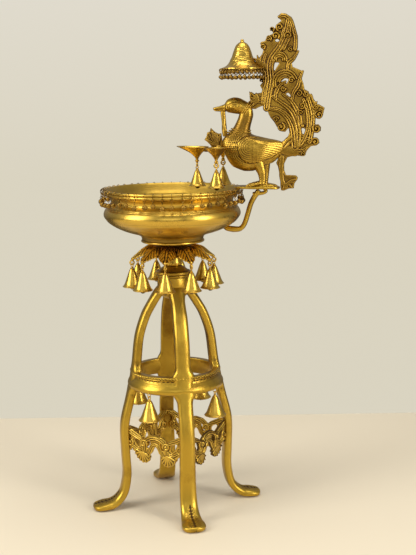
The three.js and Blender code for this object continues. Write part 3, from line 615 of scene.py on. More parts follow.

# %% [markdown]
# Ten mixes of the two groups cover the lamp: the turned and buffed bowl, the bells, the
# legs with their hand-polished faces, the deep scrolls of the plume and frets, the
# feathered bird, the wire, the jingle bells, whose colour is darkened as painted shade of the
# gaps between them, the blackened clappers, and the crown, whose leaves are rubbed bright on their veins.

# %% Brass materials


def brass(name, slot, shade_and_patina, wear, tarnish, rough, peel, peel_scale, hair=0.15, lathe=0.0, bump=0.00025,
    tint=None):
    """Brass finish: the patina group gives the colour, with brown in the hollows that is partly patina and partly
    painted shade; the surface group gives the bump; and that brown, the cloud and the peel add to roughness.
    """
    material = bpy.data.materials.new(name)
    material.use_nodes = True
    material["slot"] = slot
    tree = material.node_tree
    tree.nodes.clear()
    out = add(tree, "OutputMaterial")
    shader = add(tree, "BsdfPrincipled")
    shader.inputs["Metallic"].default_value = 1.0
    shader.inputs["IOR"].default_value = 1.45
    shader.inputs["Coat Weight"].default_value = 0.22
    shader.inputs["Coat Roughness"].default_value = 0.30
    join(tree, shader.outputs[0], out.inputs["Surface"])
    tone = add(tree, "Group", node_tree=patina)
    recess = add(tree, "Attribute", attribute_name="recess")
    join(tree, recess.outputs["Fac"], tone.inputs["Recess"])
    for label, value in (("Shade And Patina", shade_and_patina), ("Wear", wear), ("Tarnish", tarnish)):
        tone.inputs[label].default_value = value
    for label, value in (tint or {}).items():
        tone.inputs[label].default_value = value
    surface = add(tree, "Group", node_tree=skin)
    for label, value in (("Peel", peel), ("Peel Scale", peel_scale), ("Hair Lines", hair),
        ("Lathe", lathe)):
        surface.inputs[label].default_value = value
    join(tree, tone.outputs["Color"], shader.inputs["Base Color"])
    dull = math_node(tree, "MULTIPLY_ADD", tone.outputs["Shade And Patina Mask"], 0.30)
    dull.node.inputs[2].default_value = rough
    uneven = math_node(tree, "MULTIPLY", math_node(tree, "SUBTRACT", surface.outputs["Rough"], 0.5), 0.22)
    clouded = math_node(tree, "MULTIPLY", tone.outputs["Cloud"], 0.07)
    total = math_node(tree, "ADD", math_node(tree, "ADD", dull, uneven), clouded, True)
    join(tree, total, shader.inputs["Roughness"])
    lumps = add(tree, "Bump")
    lumps.inputs["Strength"].default_value = 1.0
    lumps.inputs["Distance"].default_value = bump
    join(tree, surface.outputs["Height"], lumps.inputs["Height"])
    join(tree, lumps.outputs["Normal"], shader.inputs["Normal"])
    return material


# The third number of each is the strength of the brown in the hollows: partly patina, partly painted shade.
buffed = brass("buffed_brass", "gold", 0.6, 0.4, 0.5, 0.27, 0.22, 150.0, 0.10, 0.22)
belled = brass("bell_brass", "gold", 0.9, 0.5, 0.7, 0.27, 0.3, 220.0, 0.15, 0.3)
cast = brass("cast_leg_brass", "gold", 0.95, 0.5, 0.95, 0.34, 0.5, 150.0, 0.2,
             tint={"Bright": (0.50, 0.315, 0.032, 1), "Deep": (0.24, 0.125, 0.008, 1)})
scrolled = brass("scroll_brass", "aged", 1.0, 0.3, 1.0, 0.38, 0.35, 300.0, 0.15,
                 tint={"Bright": (0.42, 0.250, 0.028, 1), "Deep": (0.20, 0.102, 0.008, 1)})
fretted = brass("fret_brass", "aged", 0.85, 0.6, 0.8, 0.32, 0.5, 420.0, 0.2)
feathered = brass("feather_brass", "aged", 0.9, 0.5, 1.0, 0.33, 0.5, 380.0, 0.2,
                  tint={"Bright": (0.48, 0.295, 0.034, 1), "Deep": (0.22, 0.115, 0.009, 1)})
wired = brass("wire_brass", "aged", 0.9, 0.5, 0.95, 0.34, 0.5, 500.0, 0.2)
darkened = brass("dark_clapper_metal", "aged", 0.9, 0.35, 1.0, 0.42, 0.6, 500.0, 0.2,
                 tint={"Bright": (0.10, 0.075, 0.045, 1), "Deep": (0.035, 0.026, 0.016, 1)})
# Painted shade: the jingle bells' colours are darkened for the shade in the gaps between them, and their hollows take
# the full brown, partly patina and partly painted shade.
strung = brass("jingle_brass", "aged", 1.0, 0.4, 1.0, 0.33, 0.5, 500.0, 0.2,
               tint={"Bright": (0.27, 0.150, 0.018, 1), "Deep": (0.055, 0.026, 0.004, 1)})
worn_crown = brass("crown_brass", "aged", 1.0, 1.0, 0.55, 0.27, 0.4, 300.0, 0.2)
for material in (buffed, belled, cast, scrolled, fretted, feathered, wired, darkened, strung, worn_crown):
    print(material.name, len(material.node_tree.nodes), "nodes")

# %% [markdown]
# ## Bowl
# An urli is cast, then turned on a lathe: a broad belly with fine cut lines under it, a
# narrow throat, a flared mouth and a rim rolled into two beads. The wall is one profile
# spun round the axis, outside and inside in a single closed loop.

# %% Bowl


def bead(r, z, radius, start=-90, end=90, count=9):
    """Half round moulding: points on an arc from start to end degrees."""
    a = np.radians(np.linspace(start, end, count))
    return np.stack([r + radius * np.cos(a), z + radius * np.sin(a)], 1)


BOWL_Z = RIM_Z - FLOOR_Z - 81.0
belly = curve([(46.5, 10), (52, 13.6), (70, 19.2), (84, 25.5), (94, 32.2), (99.6, 39), (101.3, 44),
               (99.6, 50), (95.4, 55.6), (91.2, 60.4), (90.4, 63.4), (92, 67), (95.6, 70.6), (99.4, 72.6)],
                   150)
cuts = sum(0.45 * np.exp(-(((belly[:, 1] - z) / 0.42) ** 2)) for z in (16.5, 18.6, 27.5, 29.5, 36.0, 52.5,
    54.2))
belly[:, 0] -= cuts
outside = np.concatenate([
    [(5.3, 0), (36, 0.3), (40, 0.7), (45.4, 1.6)], bead(45.6, 3.4, 1.5, -80, 80), [(45.2, 5.6)], belly,
    bead(99.4, 74.6, 2.2, -75, 75), [(100.0, 77.1)], bead(99.6, 79.0, 1.9, -60, 95)])
inside = curve([(98.2, 80.4), (96.8, 78.2), (93, 71.5), (88.6, 64.5), (88.4, 61.8), (92, 56.4),
    (96.6, 49.5),
                (98.4, 44), (97, 39.4), (91, 33.4), (82, 28.2), (69, 22.6), (50, 16.8), (42, 11.4),
                    (36, 6.0), (20, 5.5)], 110)
wall = np.concatenate([outside, inside, [(5.3, 5.5)]])
wall[:, 1] += BOWL_Z
wall[:, 1] = np.minimum(wall[:, 1], RIM_Z - FLOOR_Z)
build("urli_bowl", [turned(wall + np.array([0, FLOOR_Z]), 220)], buffed, "bowl_and_perch", ["bowl"])

# %% [markdown]
# Forty-eight small jingle bells hang from wire rings that are threaded over the rim. Each is a pressed
# ball with a slit; with so many, a ball is only a few dozen faces, and one grid is copied
# by turning it round the axis with whole arrays.

# %% Rim bells


def jingle(radius):
    """Ball with a waist seam: radius swells with a sine of the polar angle, and a slit is pinched in below."""
    p = np.linspace(0, np.pi, 8)[:, None]
    a = np.linspace(0, 2 * np.pi, 10, endpoint=False)[None]
    r = radius * (1 + 0.05 * np.exp(-(((p - 1.6) / 0.16) ** 2)))
    slit = 1 - 0.10 * np.exp(-(((p - 2.6) / 0.5) ** 2)) * np.abs(np.cos(a))
    x = r * np.sin(p) * np.cos(a) * slit
    y = r * np.sin(p) * np.sin(a)
    return np.stack([x, y, r * np.cos(p) * np.ones_like(a)], -1), False, True


rng = np.random.default_rng(7)
strings = []
for k, (size, drop, lean) in enumerate(zip(rng.uniform(3.4, 4.1, 48), rng.uniform(0, 3.6, 48),
    rng.uniform(-1.3, 1.3, 48))):
    turn_by = 360 * (k + 0.5) / 48 + lean * 0.5
    strings.append(spin(ring((0, 0, 0), 3.7, 0.5, "xz", 6, 16), turn_by, (101.4, 0, RIM_Z - 3.0)))
    link = RIM_Z - 7.6 - drop * 0.3
    strings.append(spin(ring((0, 0, 0), 1.9, 0.45, "yz", 5, 12), turn_by, (104.3, 0, link)))
    strings.append(spin(ring((0, 0, 0), 1.5, 0.45, "xz", 5, 10), turn_by,
        (104.3, 0, link - 3.0 - drop * 0.45)))
    strings.append(spin(jingle(size), turn_by + lean * 0.4, (104.6, 0, link - 4.6 - drop * 0.9 - size)))
build("rim_bell_string", strings, strung, "bowl_and_perch", ["rim_ghungroos"])

# %% [markdown]
# ## Bells
# The bells are hollow cones with a concave side, a narrow shoulder, a flared lip and a
# pair of scribed lines. A ball clapper hangs on a wire inside. Each bell is made at the
# joint that the frame gives it, so it stays on its hinge whatever the frame says.

# %% Bell shapes
JOINTS = {joint["name"]: joint for joint in frame["joints"]}


def stand_mm(point):
    """Row metres back to millimetres from the stand's axis and the floor."""
    return np.asarray(point, float) * 1000.0 - np.array([AXIS_X, 0.0, 0.0])


def bell_profile(mouth, height):
    """Outer side of a bell, top to lip: a narrow shoulder, then a concave flare that steepens to the lip."""
    top = curve([(0.10, 0.0), (0.18, 0.02), (0.26, 0.07), (0.35, 0.17), (0.45, 0.31), (0.56, 0.46),
        (0.68, 0.63),
                 (0.80, 0.79), (0.93, 0.91), (1.02, 0.975), (1.03, 1.0)], 90)
    scribed = sum(0.016 * np.exp(-(((top[:, 1] - t) / 0.011) ** 2)) for t in (0.40, 0.44, 0.84, 0.88))
    rim = 0.035 * np.exp(-(((top[:, 1] - 0.975) / 0.018) ** 2))
    return np.stack([(top[:, 0] - scribed + rim) * mouth, -top[:, 1] * height], 1)


def bell_grid(mouth, height):
    """Outer profile, lip and inner profile joined in one line and spun round the bell's own axis."""
    side = bell_profile(mouth, height)
    inner = curve([(0.955, 0.985), (0.85, 0.90), (0.74, 0.78), (0.61, 0.62), (0.49, 0.46), (0.37, 0.30),
        (0.24, 0.20), (0, 0.18)], 26)
    inner = np.stack([inner[:, 0] * mouth, -inner[:, 1] * height], 1)
    lip = np.array([[0.985 * mouth, -1.012 * height]])
    return turned(np.concatenate([[(0, 0)], side, lip, inner]), 48)


def hang_bell(name, mouth, height, eye_turn):
    """A bell with its links and clapper, hung from its joint; the links cross at right angles."""
    pivot = stand_mm(JOINTS[name + "_swing"]["pos_m"])
    pin = stand_mm(JOINTS[name + "_clapper"]["pos_m"])
    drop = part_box("bell_" + name)
    top = drop[0].z * 1000.0 + height
    links = pivot[2] - top
    grids = [moved(bell_grid(mouth, height), (0, 0, top))]
    neck = curve([(0, top - 0.2), (2.2, top - 0.2), (2.5, top + 0.6), (1.5, top + 1.4), (1.1, top + 2.1),
        (0, top + 2.2)], 12)
    grids.append(turned(neck, 14))
    if links < 9:
        eye = max((links - 2.0) / 2 * 0.62, 1.9)
        grids.append(ring((0, 0, top + 1.8 + eye), eye, 0.62, "xz", 8, 22))
        long = (pivot[2] - (top + 1.8 + 2 * eye) + 1.9) / 2
        grids.append(ring((0, 0, pivot[2] + 0.5 - long), long, 0.62, "yz", 8, 22))
    else:
        eye = 2.2
        grids.append(ring((0, 0, top + 1.8 + eye), eye, 0.7, "xz", 8, 22))
        long = (pivot[2] - (top + 1.8 + 2 * eye) + 2.0) / 2
        grids.append(ring((0, 0, pivot[2] + 0.6 - long), long * 0.86, 0.7, "yz", 8, 30, stretch=1 / 0.86))
    place = (pivot[0], pivot[1], 0)
    swung = [moved(spin(grid, eye_turn), place) for grid in grids]
    build("cone_bell_" + name, swung, belled, "bell_" + name, ["bell_" + name])
    ball_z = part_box("clapper_" + name)[0].z * 1000.0
    radius = mouth * 0.32
    a = np.linspace(0, np.pi, 13)
    ball = np.stack([radius * np.sin(a), ball_z + radius - radius * np.cos(a)], 1)
    wire = tube([(0, 0, ball_z + 1.9 * radius), (0.25, 0, (pin[2] + ball_z) / 2), (0, 0, pin[2] - 1.2)],
        0.55, 6, (0, 1, 0))
    hook = ring((0, 0, pin[2] - 0.2), 1.0, 0.45, "xz", 6, 14)
    grids = [turned(ball, 20), wire, hook]
    swung = [moved(spin(grid, eye_turn), place) for grid in grids]
    build("ball_clapper_" + name, swung, darkened, "clapper_" + name, ["clapper_" + name])


# %% [markdown]
# Ten bells hang from the crown, one at the tip of each petal, four larger ones hang from
# the band between the legs, and three small ones hang under the lamp cups. The larger
# loops on the band's bells are thin and wide.

# %% Bells in place
for k in range(10):
    hang_bell(f"crown_{k}", 14.0, 28.0, -90 + 36 * k)
for side, bearing in (("front", -22.8), ("right", 67.2), ("rear", 157.2), ("left", 247.2)):
    hang_bell(f"bay_{side}", 15.5, 30.0, bearing + 90)
for side, bearing in (("left", 180), ("front", 270), ("back", 90)):
    hang_bell(f"lamp_{side}", 12.0, 24.0, bearing)

# %% [markdown]
# ## Legs
# Each leg is one cast strap, flat inside and rounded outside, that leaves the hub, bows
# out, draws in at the ankle and kicks forward into a toe. The toe's top is chased with a
# leaf: one middle vein and slanting side veins. The strap widens where it meets the band.

# %% Leg shape
LEG_LINE = np.array([
    (15.5, 340, 10.4, 6.5), (24.5, 330, 10.4, 6.5), (36, 312, 10.4, 6.5), (45, 295, 11, 6.5),
        (54.5, 265.3, 11, 6.5),
    (59.5, 224.8, 11.2, 6.8), (63.5, 200, 11.2, 6.8), (71, 169.9, 11.2, 6.5), (80, 129.9, 11.2, 6.5),
    (79.5, 85.3, 11.6, 6.5), (78.5, 55.7, 12.1, 6.5), (82.5, 30.8, 12.6, 6.5), (90.5, 16.5, 13.4, 6.5),
    (102, 8.4, 15.4, 6.2), (115, 6.6, 17.4, 5.4), (124, 5.4, 15.6, 4.6), (128.6, 4.8, 11.0, 4.0),
        (130.6, 4.4, 5.4, 2.6),
    (131.2, 4.2, 1.2, 0.8)])
LEG_BEARING = {"front": -67.8, "right": 22.2, "rear": 112.2, "left": 202.2}


def leg_grid():
    """Strap section carried down a curve: outside a round arch, inside nearly flat, veins cut into the toe."""
    line = curve(LEG_LINE, 300)
    along = np.gradient(line[:, :2], axis=0)
    reach = np.concatenate([[0], np.cumsum(np.linalg.norm(np.diff(line[:, :2], axis=0), axis=1))])
    along /= np.linalg.norm(along, axis=1)[:, None]
    a = np.linspace(0, 2 * np.pi, 56, endpoint=False)[None]
    s = np.sign(np.cos(a)) * np.abs(np.cos(a)) ** 0.72
    n = np.where(np.sin(a) >= 0, np.abs(np.sin(a)) ** 0.95, -np.abs(np.sin(a)) ** 0.30)
    z = line[:, 1:2]
    flare = 5.0 * np.exp(-(((z - 214) / 7) ** 2)) + 4.5 * np.exp(-(((z - 188) / 7) ** 2)) + 2.0 * np.exp(-(((z - 201) / 9) ** 2))
    wide = line[:, 2:3] + flare * (z > 150) + 1.5 * smoothstep(z, 318, 330)
    from_tip = reach[-1] - reach[:, None]
    on_toe = smoothstep(from_tip, 1.5, 6) * (1 - smoothstep(from_tip, 50, 58)) * np.clip(np.sin(a), 0,
        1) ** 0.4
    across = s * wide
    leaf = 9.5 * np.sin(np.clip((56 - from_tip) / 56, 0, 1) * np.pi * 0.62) ** 0.8 + 0.5
    in_leaf = smoothstep(leaf - np.abs(across), 0, 1.5)
    middle = np.exp(-((across / 0.9) ** 2))
    veins = np.abs(np.sin((from_tip + 1.5 * np.abs(across)) * np.pi / 5.6)) ** 3
    cut = on_toe * (-1.3 * middle - 1.35 * veins * in_leaf * (1 - middle) + 0.55 * in_leaf)
    edge = -0.5 * np.exp(-(((np.abs(s) - 0.80) / 0.07) ** 2)) * np.clip(np.sin(a), 0, 1) * (1 - on_toe)
    deep = line[:, 3:4] * n + cut + edge * 0.4
    x = line[:, 0:1] - along[:, 1:2] * deep
    height = line[:, 1:2] + along[:, 0:1] * deep
    grid = np.stack([x, across, np.maximum(height, 0.02)], -1)
    ends = [np.repeat(grid[i:i + 1].mean(1, keepdims=True), 56, 1) for i in (0, -1)]
    return np.concatenate([ends[0], grid, ends[1]]), False, True


for side, bearing in LEG_BEARING.items():
    leg = moved(leg_grid(), (0, 0, FLOOR_Z))
    build(f"strap_leg_{side}", [spin(leg, bearing)], cast, "stand", [f"leg_{side}"])

# %% [markdown]
# ## Band and hub
# The band ties the legs. Its top carries a roped bead, then a hollow cove, then a broad
# rounded roll; the inside is left as cast. The hub above is a turned vase with a collar.

# %% Band
leg_at = lambda z: np.interp(-z, -LEG_LINE[:, 1], LEG_LINE[:, 0])
T, B = leg_at(214) + 4.4, leg_at(188) + 4.6
cove = curve([(T + 1.5, 209.6), (T + 0.4, 207.6), (T + 0.9, 204.6), (T + 2.6, 202.2)], 16)
roll = curve([(T + 2.9, 201.7), (B - 0.2, 198.2), (B + 1.3, 194.4), (B + 0.9, 190.6), (B - 1.0, 188.4),
    (B - 3.4, 188.0)], 34)
band_side = np.concatenate([[(T - 3.2, 214.2)], bead(T + 0.6, 212.4, 1.9, 80, -80, 13), cove, roll,
                            curve([(B - 5.4, 188.8), (B - 8.6, 191), (T - 7.6, 204), (T - 8.0, 213.4),
                                (T - 6.6, 214.2)], 30)])


def rope(r, z, a):
    """Slanted ripples on the top bead and a fainter, broken row of dashes under it."""
    on_bead = np.exp(-(((z - 212.4) / 1.5) ** 2)) * (r > T - 0.5)
    dash = np.exp(-(((z - 207.4) / 0.8) ** 2)) * (r > T - 0.5)
    return 0.55 * on_bead * np.sin(92 * a + (z - 212) * 1.6) - 0.7 * dash * (np.sin(64 * a) > -0.2)


band = turned(band_side + np.array([0, FLOOR_Z]), 640, rope)
build("roped_band", [band], cast, "stand", ["band_ring"])

hub = np.concatenate([
    curve([(5.4, 321.6), (12, 321.6), (17.4, 324), (21.6, 328.4), (23.6, 335), (24.4, 344), (23.4, 351),
        (22.4, 354)], 60),
    bead(23.4, 356.0, 1.8, -80, 70), [(24.0, 358.0)], bead(24.4, 360.4, 2.3, -80, 80),
    curve([(22.6, 363.2), (20.4, 365), (16.2, 368.2), (11, 370.6), (5.4, 370.8)], 20)])
build("turned_hub", [turned(hub + np.array([0, FLOOR_Z]), 96)], cast, "stand", ["leg_hub"])

# %% [markdown]
# The stud is a threaded rod: a helix, cut as a ripple of radius that depends on height
# plus angle. The nut that clamps the bowl is a hexagon with rounded corners.

# %% Stud and nut
low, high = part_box("centre_stud")
z = np.linspace(low.z * 1000 + 0.3, high.z * 1000 - 0.6, 330)
rod = np.concatenate([[(0, z[0])], np.stack([np.full(330, 4.7), z], 1),
    [(3.6, z[-1] + 0.5), (0, z[-1] + 0.6)]])
stud = turned(rod, 32, lambda r, z, a: 0.3 * np.sin(2 * np.pi * z / 1.5 - a) * (r > 4.5))
build("threaded_stud", [stud], wired, "stand", ["centre_stud"])
low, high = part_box("centre_nut")
n0, n1 = low.z * 1000, high.z * 1000
nut_side = np.array([(5.4, n0), (8.6, n0), (9.4, n0 + 0.6), (9.6, n0 + 1.4), (9.6, n1 - 1.6),
    (9.2, n1 - 0.7), (7.8, n1), (5.4, n1)])
six = lambda r, z, a: (r > 7) * (-0.55 + 0.75 * np.abs(((a * 6 / (2 * np.pi)) % 1) - 0.5) * 2 - 0.25)
build("hex_nut", [turned(nut_side, 96, six)], wired, "stand", ["centre_nut"])

# %% [markdown]
# ## Crown
# Ten leaves droop from a disc under the bowl. A leaf's height falls faster and faster
# towards its tip; a middle vein and slanted side veins stand up on it, and the leaves
# meet in creases. An eye is cast under each tip for a bell's link.

# %% Crown of leaves
CROWN_TOP = BOWL_Z + FLOOR_Z - 0.35


def crown_grid():
    """Polar grid: radius is a share of a leafy outline, height falls with the share, veins are added on top."""
    a = np.linspace(0, 2 * np.pi, 480, endpoint=False)[None]
    t = np.linspace(0, 1, 96)[:, None]
    u = ((a + np.pi / 2) * 10 / (2 * np.pi) + 0.5) % 1 * 2 - 1
    tooth = 0.055 * np.abs(np.sin(3.2 * np.pi * np.abs(u))) * (np.abs(u) > 0.1)
    outline = 44.5 + 18.0 * (1 - np.abs(u) ** 1.5) + 20 * tooth * (1 - np.abs(u))
    r = 11.6 + (outline - 11.6) * t
    share = r / 62.0
    fall = np.interp(share, [0.19, 0.45, 0.6, 0.68, 0.74, 0.80, 0.87, 0.94, 1.0, 1.05],
                     [0.0, 0.02, 0.09, 0.17, 0.26, 0.36, 0.48, 0.59, 0.68, 0.74]) * 33.4
    s = u * np.pi * r / 10
    leafy = smoothstep(r, 26, 36)
    middle = 1.6 * np.exp(-((s / 1.3) ** 2)) - 0.9 * np.exp(-(((np.abs(s) - 2.4) / 0.9) ** 2))
    side = 1.25 * np.abs(np.sin((r - 1.25 * np.abs(s)) * np.pi / 6.0)) ** 1.4 * smoothstep(np.abs(s), 1.5,
        3.5)
    crease = -4.6 * np.abs(u) ** 3 * smoothstep(r, 22,
        34) - 1.5 * np.exp(-(((1 - np.abs(u)) * 10 / 1.3) ** 2))
    cup = 3.2 * np.cos(u * np.pi / 2) * smoothstep(r, 34, 50)
    top = CROWN_TOP - fall + leafy * (middle + side + crease + cup) - 2.4
    top = np.minimum(top, CROWN_TOP)
    collar = smoothstep(r, 11, 13) * (1 - smoothstep(r, 19, 22))
    top = top + 2.4 * collar * (fall < 1)
    under = top - 4.4 * np.sqrt(np.clip(1 - t**10, 0, 1)) - 0.25
    shape = lambda z: np.stack([r * np.cos(a), r * np.sin(a), z], -1)
    return np.concatenate([shape(top), shape(under)[::-1]]), True, True


crown = [crown_grid()]
socket = [(5.4, 371.3), (12.6, 371.3), (13.4, 372.4), (13.0, 376), (12.2, 384), (12.6, 396), (14.4, 400.6),
    (5.4, 401.4)]
crown.append(turned(np.array(socket) + np.array([0, FLOOR_Z]), 64))
EYE_Z = 376.7 + FLOOR_Z
for k in range(10):
    eye = moved(ring((0, 0, 0), 3.0, 1.15, "xz", 10, 24), (61.5, 0, EYE_Z))
    stalk = tube([(60.4, 0, EYE_Z + 5.6), (61.2, 0, EYE_Z + 4.4), (61.5, 0, EYE_Z + 2.4)], [2.6, 2.0, 1.2],
        10)
    crown += [spin(eye, -90 + 36 * k), spin(stalk, -90 + 36 * k)]
build("leaf_crown", crown, worn_crown, "stand", ["bell_crown"])

# %% [markdown]
# ## Frets
# A pierced vine joins each pair of legs: an arch in the middle, a scroll around each eye,
# and fan leaves that hang. It is a relief casting, so strands are laid on a ground.

# %% Fret
HALF = 56.2
FRET_TOP = [(0, 47), (12.4, 45), (18, 41), (21.5, 37.5), (26, 42), (34, 46), (42, 50), (57, 53)]
FRET_LOW = [(57, 22), (50, 18.5), (43, 20), (38.4, 16), (36, 11), (33, 6.5), (28, 3), (22.6, 1.0),
    (16.4, 1.5),
            (11.9, 5), (9.6, 10), (10.2, 15), (5.7, 19.5), (2.8, 26), (0, 28.5)]
fret_half = [(x, z) for x, z in FRET_TOP + FRET_LOW]
fret_outline = fret_half + [(-x, z) for x, z in fret_half[1:-1]][::-1]
fret_eyes = [
    curve([(9, 35.5), (12.6, 35), (15.3, 29.5), (14.8, 25.4), (11.3, 27)], 16, True),
    curve([(28.2, 32.5), (34, 37.5), (38.6, 37.4), (35, 30), (29.4, 25)], 16, True),
    curve([(45, 38), (50, 43), (52.5, 38), (48, 33)], 14, True)]
fret_half_strands = [
    strand([(0, 42.5), (8, 41), (16, 36), (20, 28), (21, 20), (22, 15)], [3.6, 3.4, 3.0, 2.6, 2.2], 3.9, 2),
    strand([(0, 33), (6, 31), (10, 24.5), (13, 18), (17, 14)], [2.8, 2.6, 2.2, 1.8], 3.4, 2),
    strand([(57, 47), (48, 47), (38, 42), (30, 39), (24, 36), (20, 30)], [3.2, 3.4, 3.0, 2.8, 2.0], 3.9, 2),
    strand([(57, 29), (48, 28), (40, 25), (33, 21), (27, 21), (23, 24)], [2.6, 3.2, 3.0, 2.8, 2.0], 3.8, 2),
    strand([(41, 40), (42.5, 33), (41, 26)], [2.2, 2.8, 2.0], 3.4, 2),
    scroll(20.5, 31.5, 6.4, 1.3, 200, -1, 4.4),
    scroll(44.5, 29.5, 5.2, 1.3, 120, 1, 4.4),
    scroll(53.5, 47, 4.2, 1.2, 260, -1, 4.2)]
for tip in [(10.4, 11), (12.4, 5.6), (17, 2.4), (22.4, 1.6), (28, 3.8), (32.6, 7.6), (36.6, 13)]:
    fret_half_strands.append(strand([(22.5, 18), ((22.5 + tip[0]) / 2, (19 + tip[1]) / 2), tip],
        [1.2, 2.1, 1.1], 3.7, 1, 24))
for tip in [(41, 21), (46, 17.5), (52, 17.5), (56, 21)]:
    fret_half_strands.append(strand([(50, 30), ((50 + tip[0]) / 2, (29 + tip[1]) / 2), tip],
        [1.1, 1.9, 1.0], 3.6, 1, 24))
mirror = lambda line: line * np.array([-1, 1])
fret_strands = fret_half_strands + [(mirror(line), w, h, ribs) for line, w, h, ribs in fret_half_strands]
fret_eyes = fret_eyes + [mirror(eye) for eye in fret_eyes]
fret_points, fret_faces = relief(fret_strands, fret_outline, fret_eyes, 0.52, 1.9, 1.3)
fret_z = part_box("fret_front")[0].z * 1000.0 + 1.0
for side, bearing in LEG_BEARING.items():
    placed = spin((fret_points, 0, 0), bearing + 135, (0, -HALF, fret_z))[0]
    build(f"vine_fret_{side}", [], fretted, "stand", [f"fret_{side}"], flat=[(placed, fret_faces)])

# %% [markdown]
# ## Shelf and strut
# A small shelf brazed to the rim carries the bird. It is a plate with rolled edges and a
# low mound, held from below by a bent strap whose foot curls against the belly. Both are
# superellipses carried along x or along a bent path.

# %% Shelf
PX = BOWL_R
shelf_line = [(-7.5, 1.9, 0.9, 11.5), (0, 1.6, 2.0, 14.6), (20, 1.3, 2.4, 15), (44, 1.0, 2.4, 14.6),
              (54, 0.6, 2.2, 11.5), (58.2, 0.4, 0.9, 5.0)]
shelf = ovals(np.array(shelf_line) + np.array([PX, RIM_Z, 0, 0]), 70, 60, power=4.2)
mound_r = np.linspace(0, 1, 24)[:, None]
mound_a = np.linspace(0, 2 * np.pi, 72, endpoint=False)[None]
knuckle = 1 + 0.05 * np.cos(9 * mound_a)
mound = np.stack([PX + 33 + 21 * mound_r * knuckle * np.cos(mound_a),
    12.4 * mound_r * knuckle * np.sin(mound_a),
                  RIM_Z + 2.6 + 5.0 * np.sqrt(np.clip(1 - mound_r**2.2, 0,
                      1)) + 0.25 * np.cos(9 * mound_a) * mound_r], -1)
mound_floor = mound[-1:] * np.array([1, 1, 0]) + np.array([0, 0, RIM_Z + 1.0])
mound_pole = np.repeat(mound_floor.mean(1, keepdims=True), 72, 1)
build("perch_shelf", [shelf, (np.concatenate([mound, mound_floor, mound_pole]), False, True)], cast,
    "bowl_and_perch", ["shelf"])
strut_path = curve([(-25, 0, -57.0), (-18, 0, -59.4), (-8, 0, -60.6), (0, 0, -59.4), (6, 0, -52.5),
    (11, 0, -38), (16, 0, -22),
                    (22.5, 0, -10.5), (28, 0, -3.6)], 90) + np.array([PX, 0, RIM_Z])
strut_w = np.interp(np.linspace(0, 1, 90), [0, 0.1, 0.22, 0.4, 0.8, 1], [2.0, 4.0, 4.4, 3.6, 3.8, 4.2])
strut = tube(strut_path, strut_w, 24, (0, 1, 0), 1.55)
curl = tube(curve([(19, 0, -9), (25, 0, -8.2), (31, 0, -7.6), (36, 0, -6.4), (38.4, 0, -4.2), (37, 0, -2.6),
    (34.8, 0, -3.4)], 40)
            + np.array([PX, 0, RIM_Z]), np.linspace(3.2, 1.7, 40), 16, (0, 1, 0), 1.8)
build("bent_strut", [strut, curl], cast, "bowl_and_perch", ["shelf_strut"])

# %% [markdown]
# ## Bird
# The body is a loft by height: each level is an oval that runs from the breast line to the
# back line. Feathering is a displacement of that loft, worked out from the side view: a
# swirl of arcs on the shoulder, small scales on the breast, larger ones on the back, and
# long quills on the wing, whose edge stands up in scallops.

# %% Feather patterns


def scales(u, v):
    """Overlapping rounded scales: in each row the height falls towards the next, and rows shift by half."""
    row_no = np.floor(v)
    f = v - row_no
    c = (u + 0.5 * row_no) % 1 * 2 - 1
    arch = f - 0.35 * c**2
    return np.where(arch > 0, 1 - arch, 0.25 + arch) - 0.5


def feathering(x, z):
    """Height of the chased feathers over the side view, in millimetres."""
    d, bearing = np.hypot(x - 118, z - 545), np.arctan2(z - 545, x - 118)
    facing = 1 - smoothstep(np.cos(bearing - math.radians(10)), -0.35, 0.25)
    swirl = 0.26 * np.cos(2 * np.pi * (d + 0.5 * bearing) / 2.9) * smoothstep(d, 2,
        5) * (1 - smoothstep(d, 23, 27)) * facing
    breast = 0.75 * scales((z - 0.55 * x) / 3.4,
        (x + 0.3 * z) / 3.2) * (1 - smoothstep(x, 97, 103)) * smoothstep(z, 524, 534)
    fade = (1 - facing) + smoothstep(d, 23, 27) * facing * smoothstep(x, 100, 108)
    wing = np.array([(101, 549), (107, 557), (118, 561), (133, 560), (148, 557), (160, 552), (164.5, 547),
        (163.5, 541),
                     (158, 537), (148, 531), (134, 526), (119, 524), (107, 530)])
    edge = inside_outline(x.ravel(), z.ravel(), curve(wing, 60, True)).reshape(x.shape)
    scallop = 0.9 * np.abs(np.sin(bearing * 11))
    on_wing = smoothstep(edge + scallop, -0.5, 0.9)
    quill_at = (z - 545 + 0.10 * (x - 118) + 0.0035 * (x - 118) ** 2) / 2.9 * (1 - 0.25 * smoothstep(x, 135,
        160))
    quill = 0.62 * (np.abs((quill_at % 1) * 2 - 1) ** 0.6) - 0.15
    small = 0.35 * scales((z + 0.2 * x) / 4.4, (x - 128) / 5.2)
    rear = smoothstep(x, 124, 136)
    feathers = fade * on_wing * ((1 - rear) * small + rear * quill)
    lower = 0.32 * scales((x + 0.5 * z) / 4.6, (548 - z + 0.1 * x) / 4.4) * (1 - on_wing) * smoothstep(x,
        101, 106)
    return swirl + breast + feathers + 1.5 * on_wing + lower * smoothstep(z, 516, 524)


# %% Bird's body
BIRD_Z = RIM_Z - 486.0
BREAST = np.array([(511, 107), (514, 99), (518, 91), (527, 84), (538, 79), (548, 76.2), (552, 75.8),
    (556, 77), (560, 79.6),
                   (567, 87.5), (574, 93), (580, 96.5), (588, 100), (596, 102), (602, 103)])
BACK = np.array([(511, 121), (514, 131), (517, 137), (520, 142), (523, 150), (530, 158), (537, 162.5),
    (543, 165),
                 (548, 165.4), (552, 164), (555, 156), (557, 146), (560, 132), (563, 121.5), (567, 117.2),
                     (575, 117.6),
                 (584, 120), (592, 121.6), (602, 120)])
WIDTH = np.array([(511, 6), (514, 11), (520, 15.4), (530, 18.4), (540, 19.4), (548, 19), (554, 17),
    (560, 14.3), (566, 12.3),
                  (575, 10.4), (585, 9.0), (592, 8.5), (602, 8.3)])


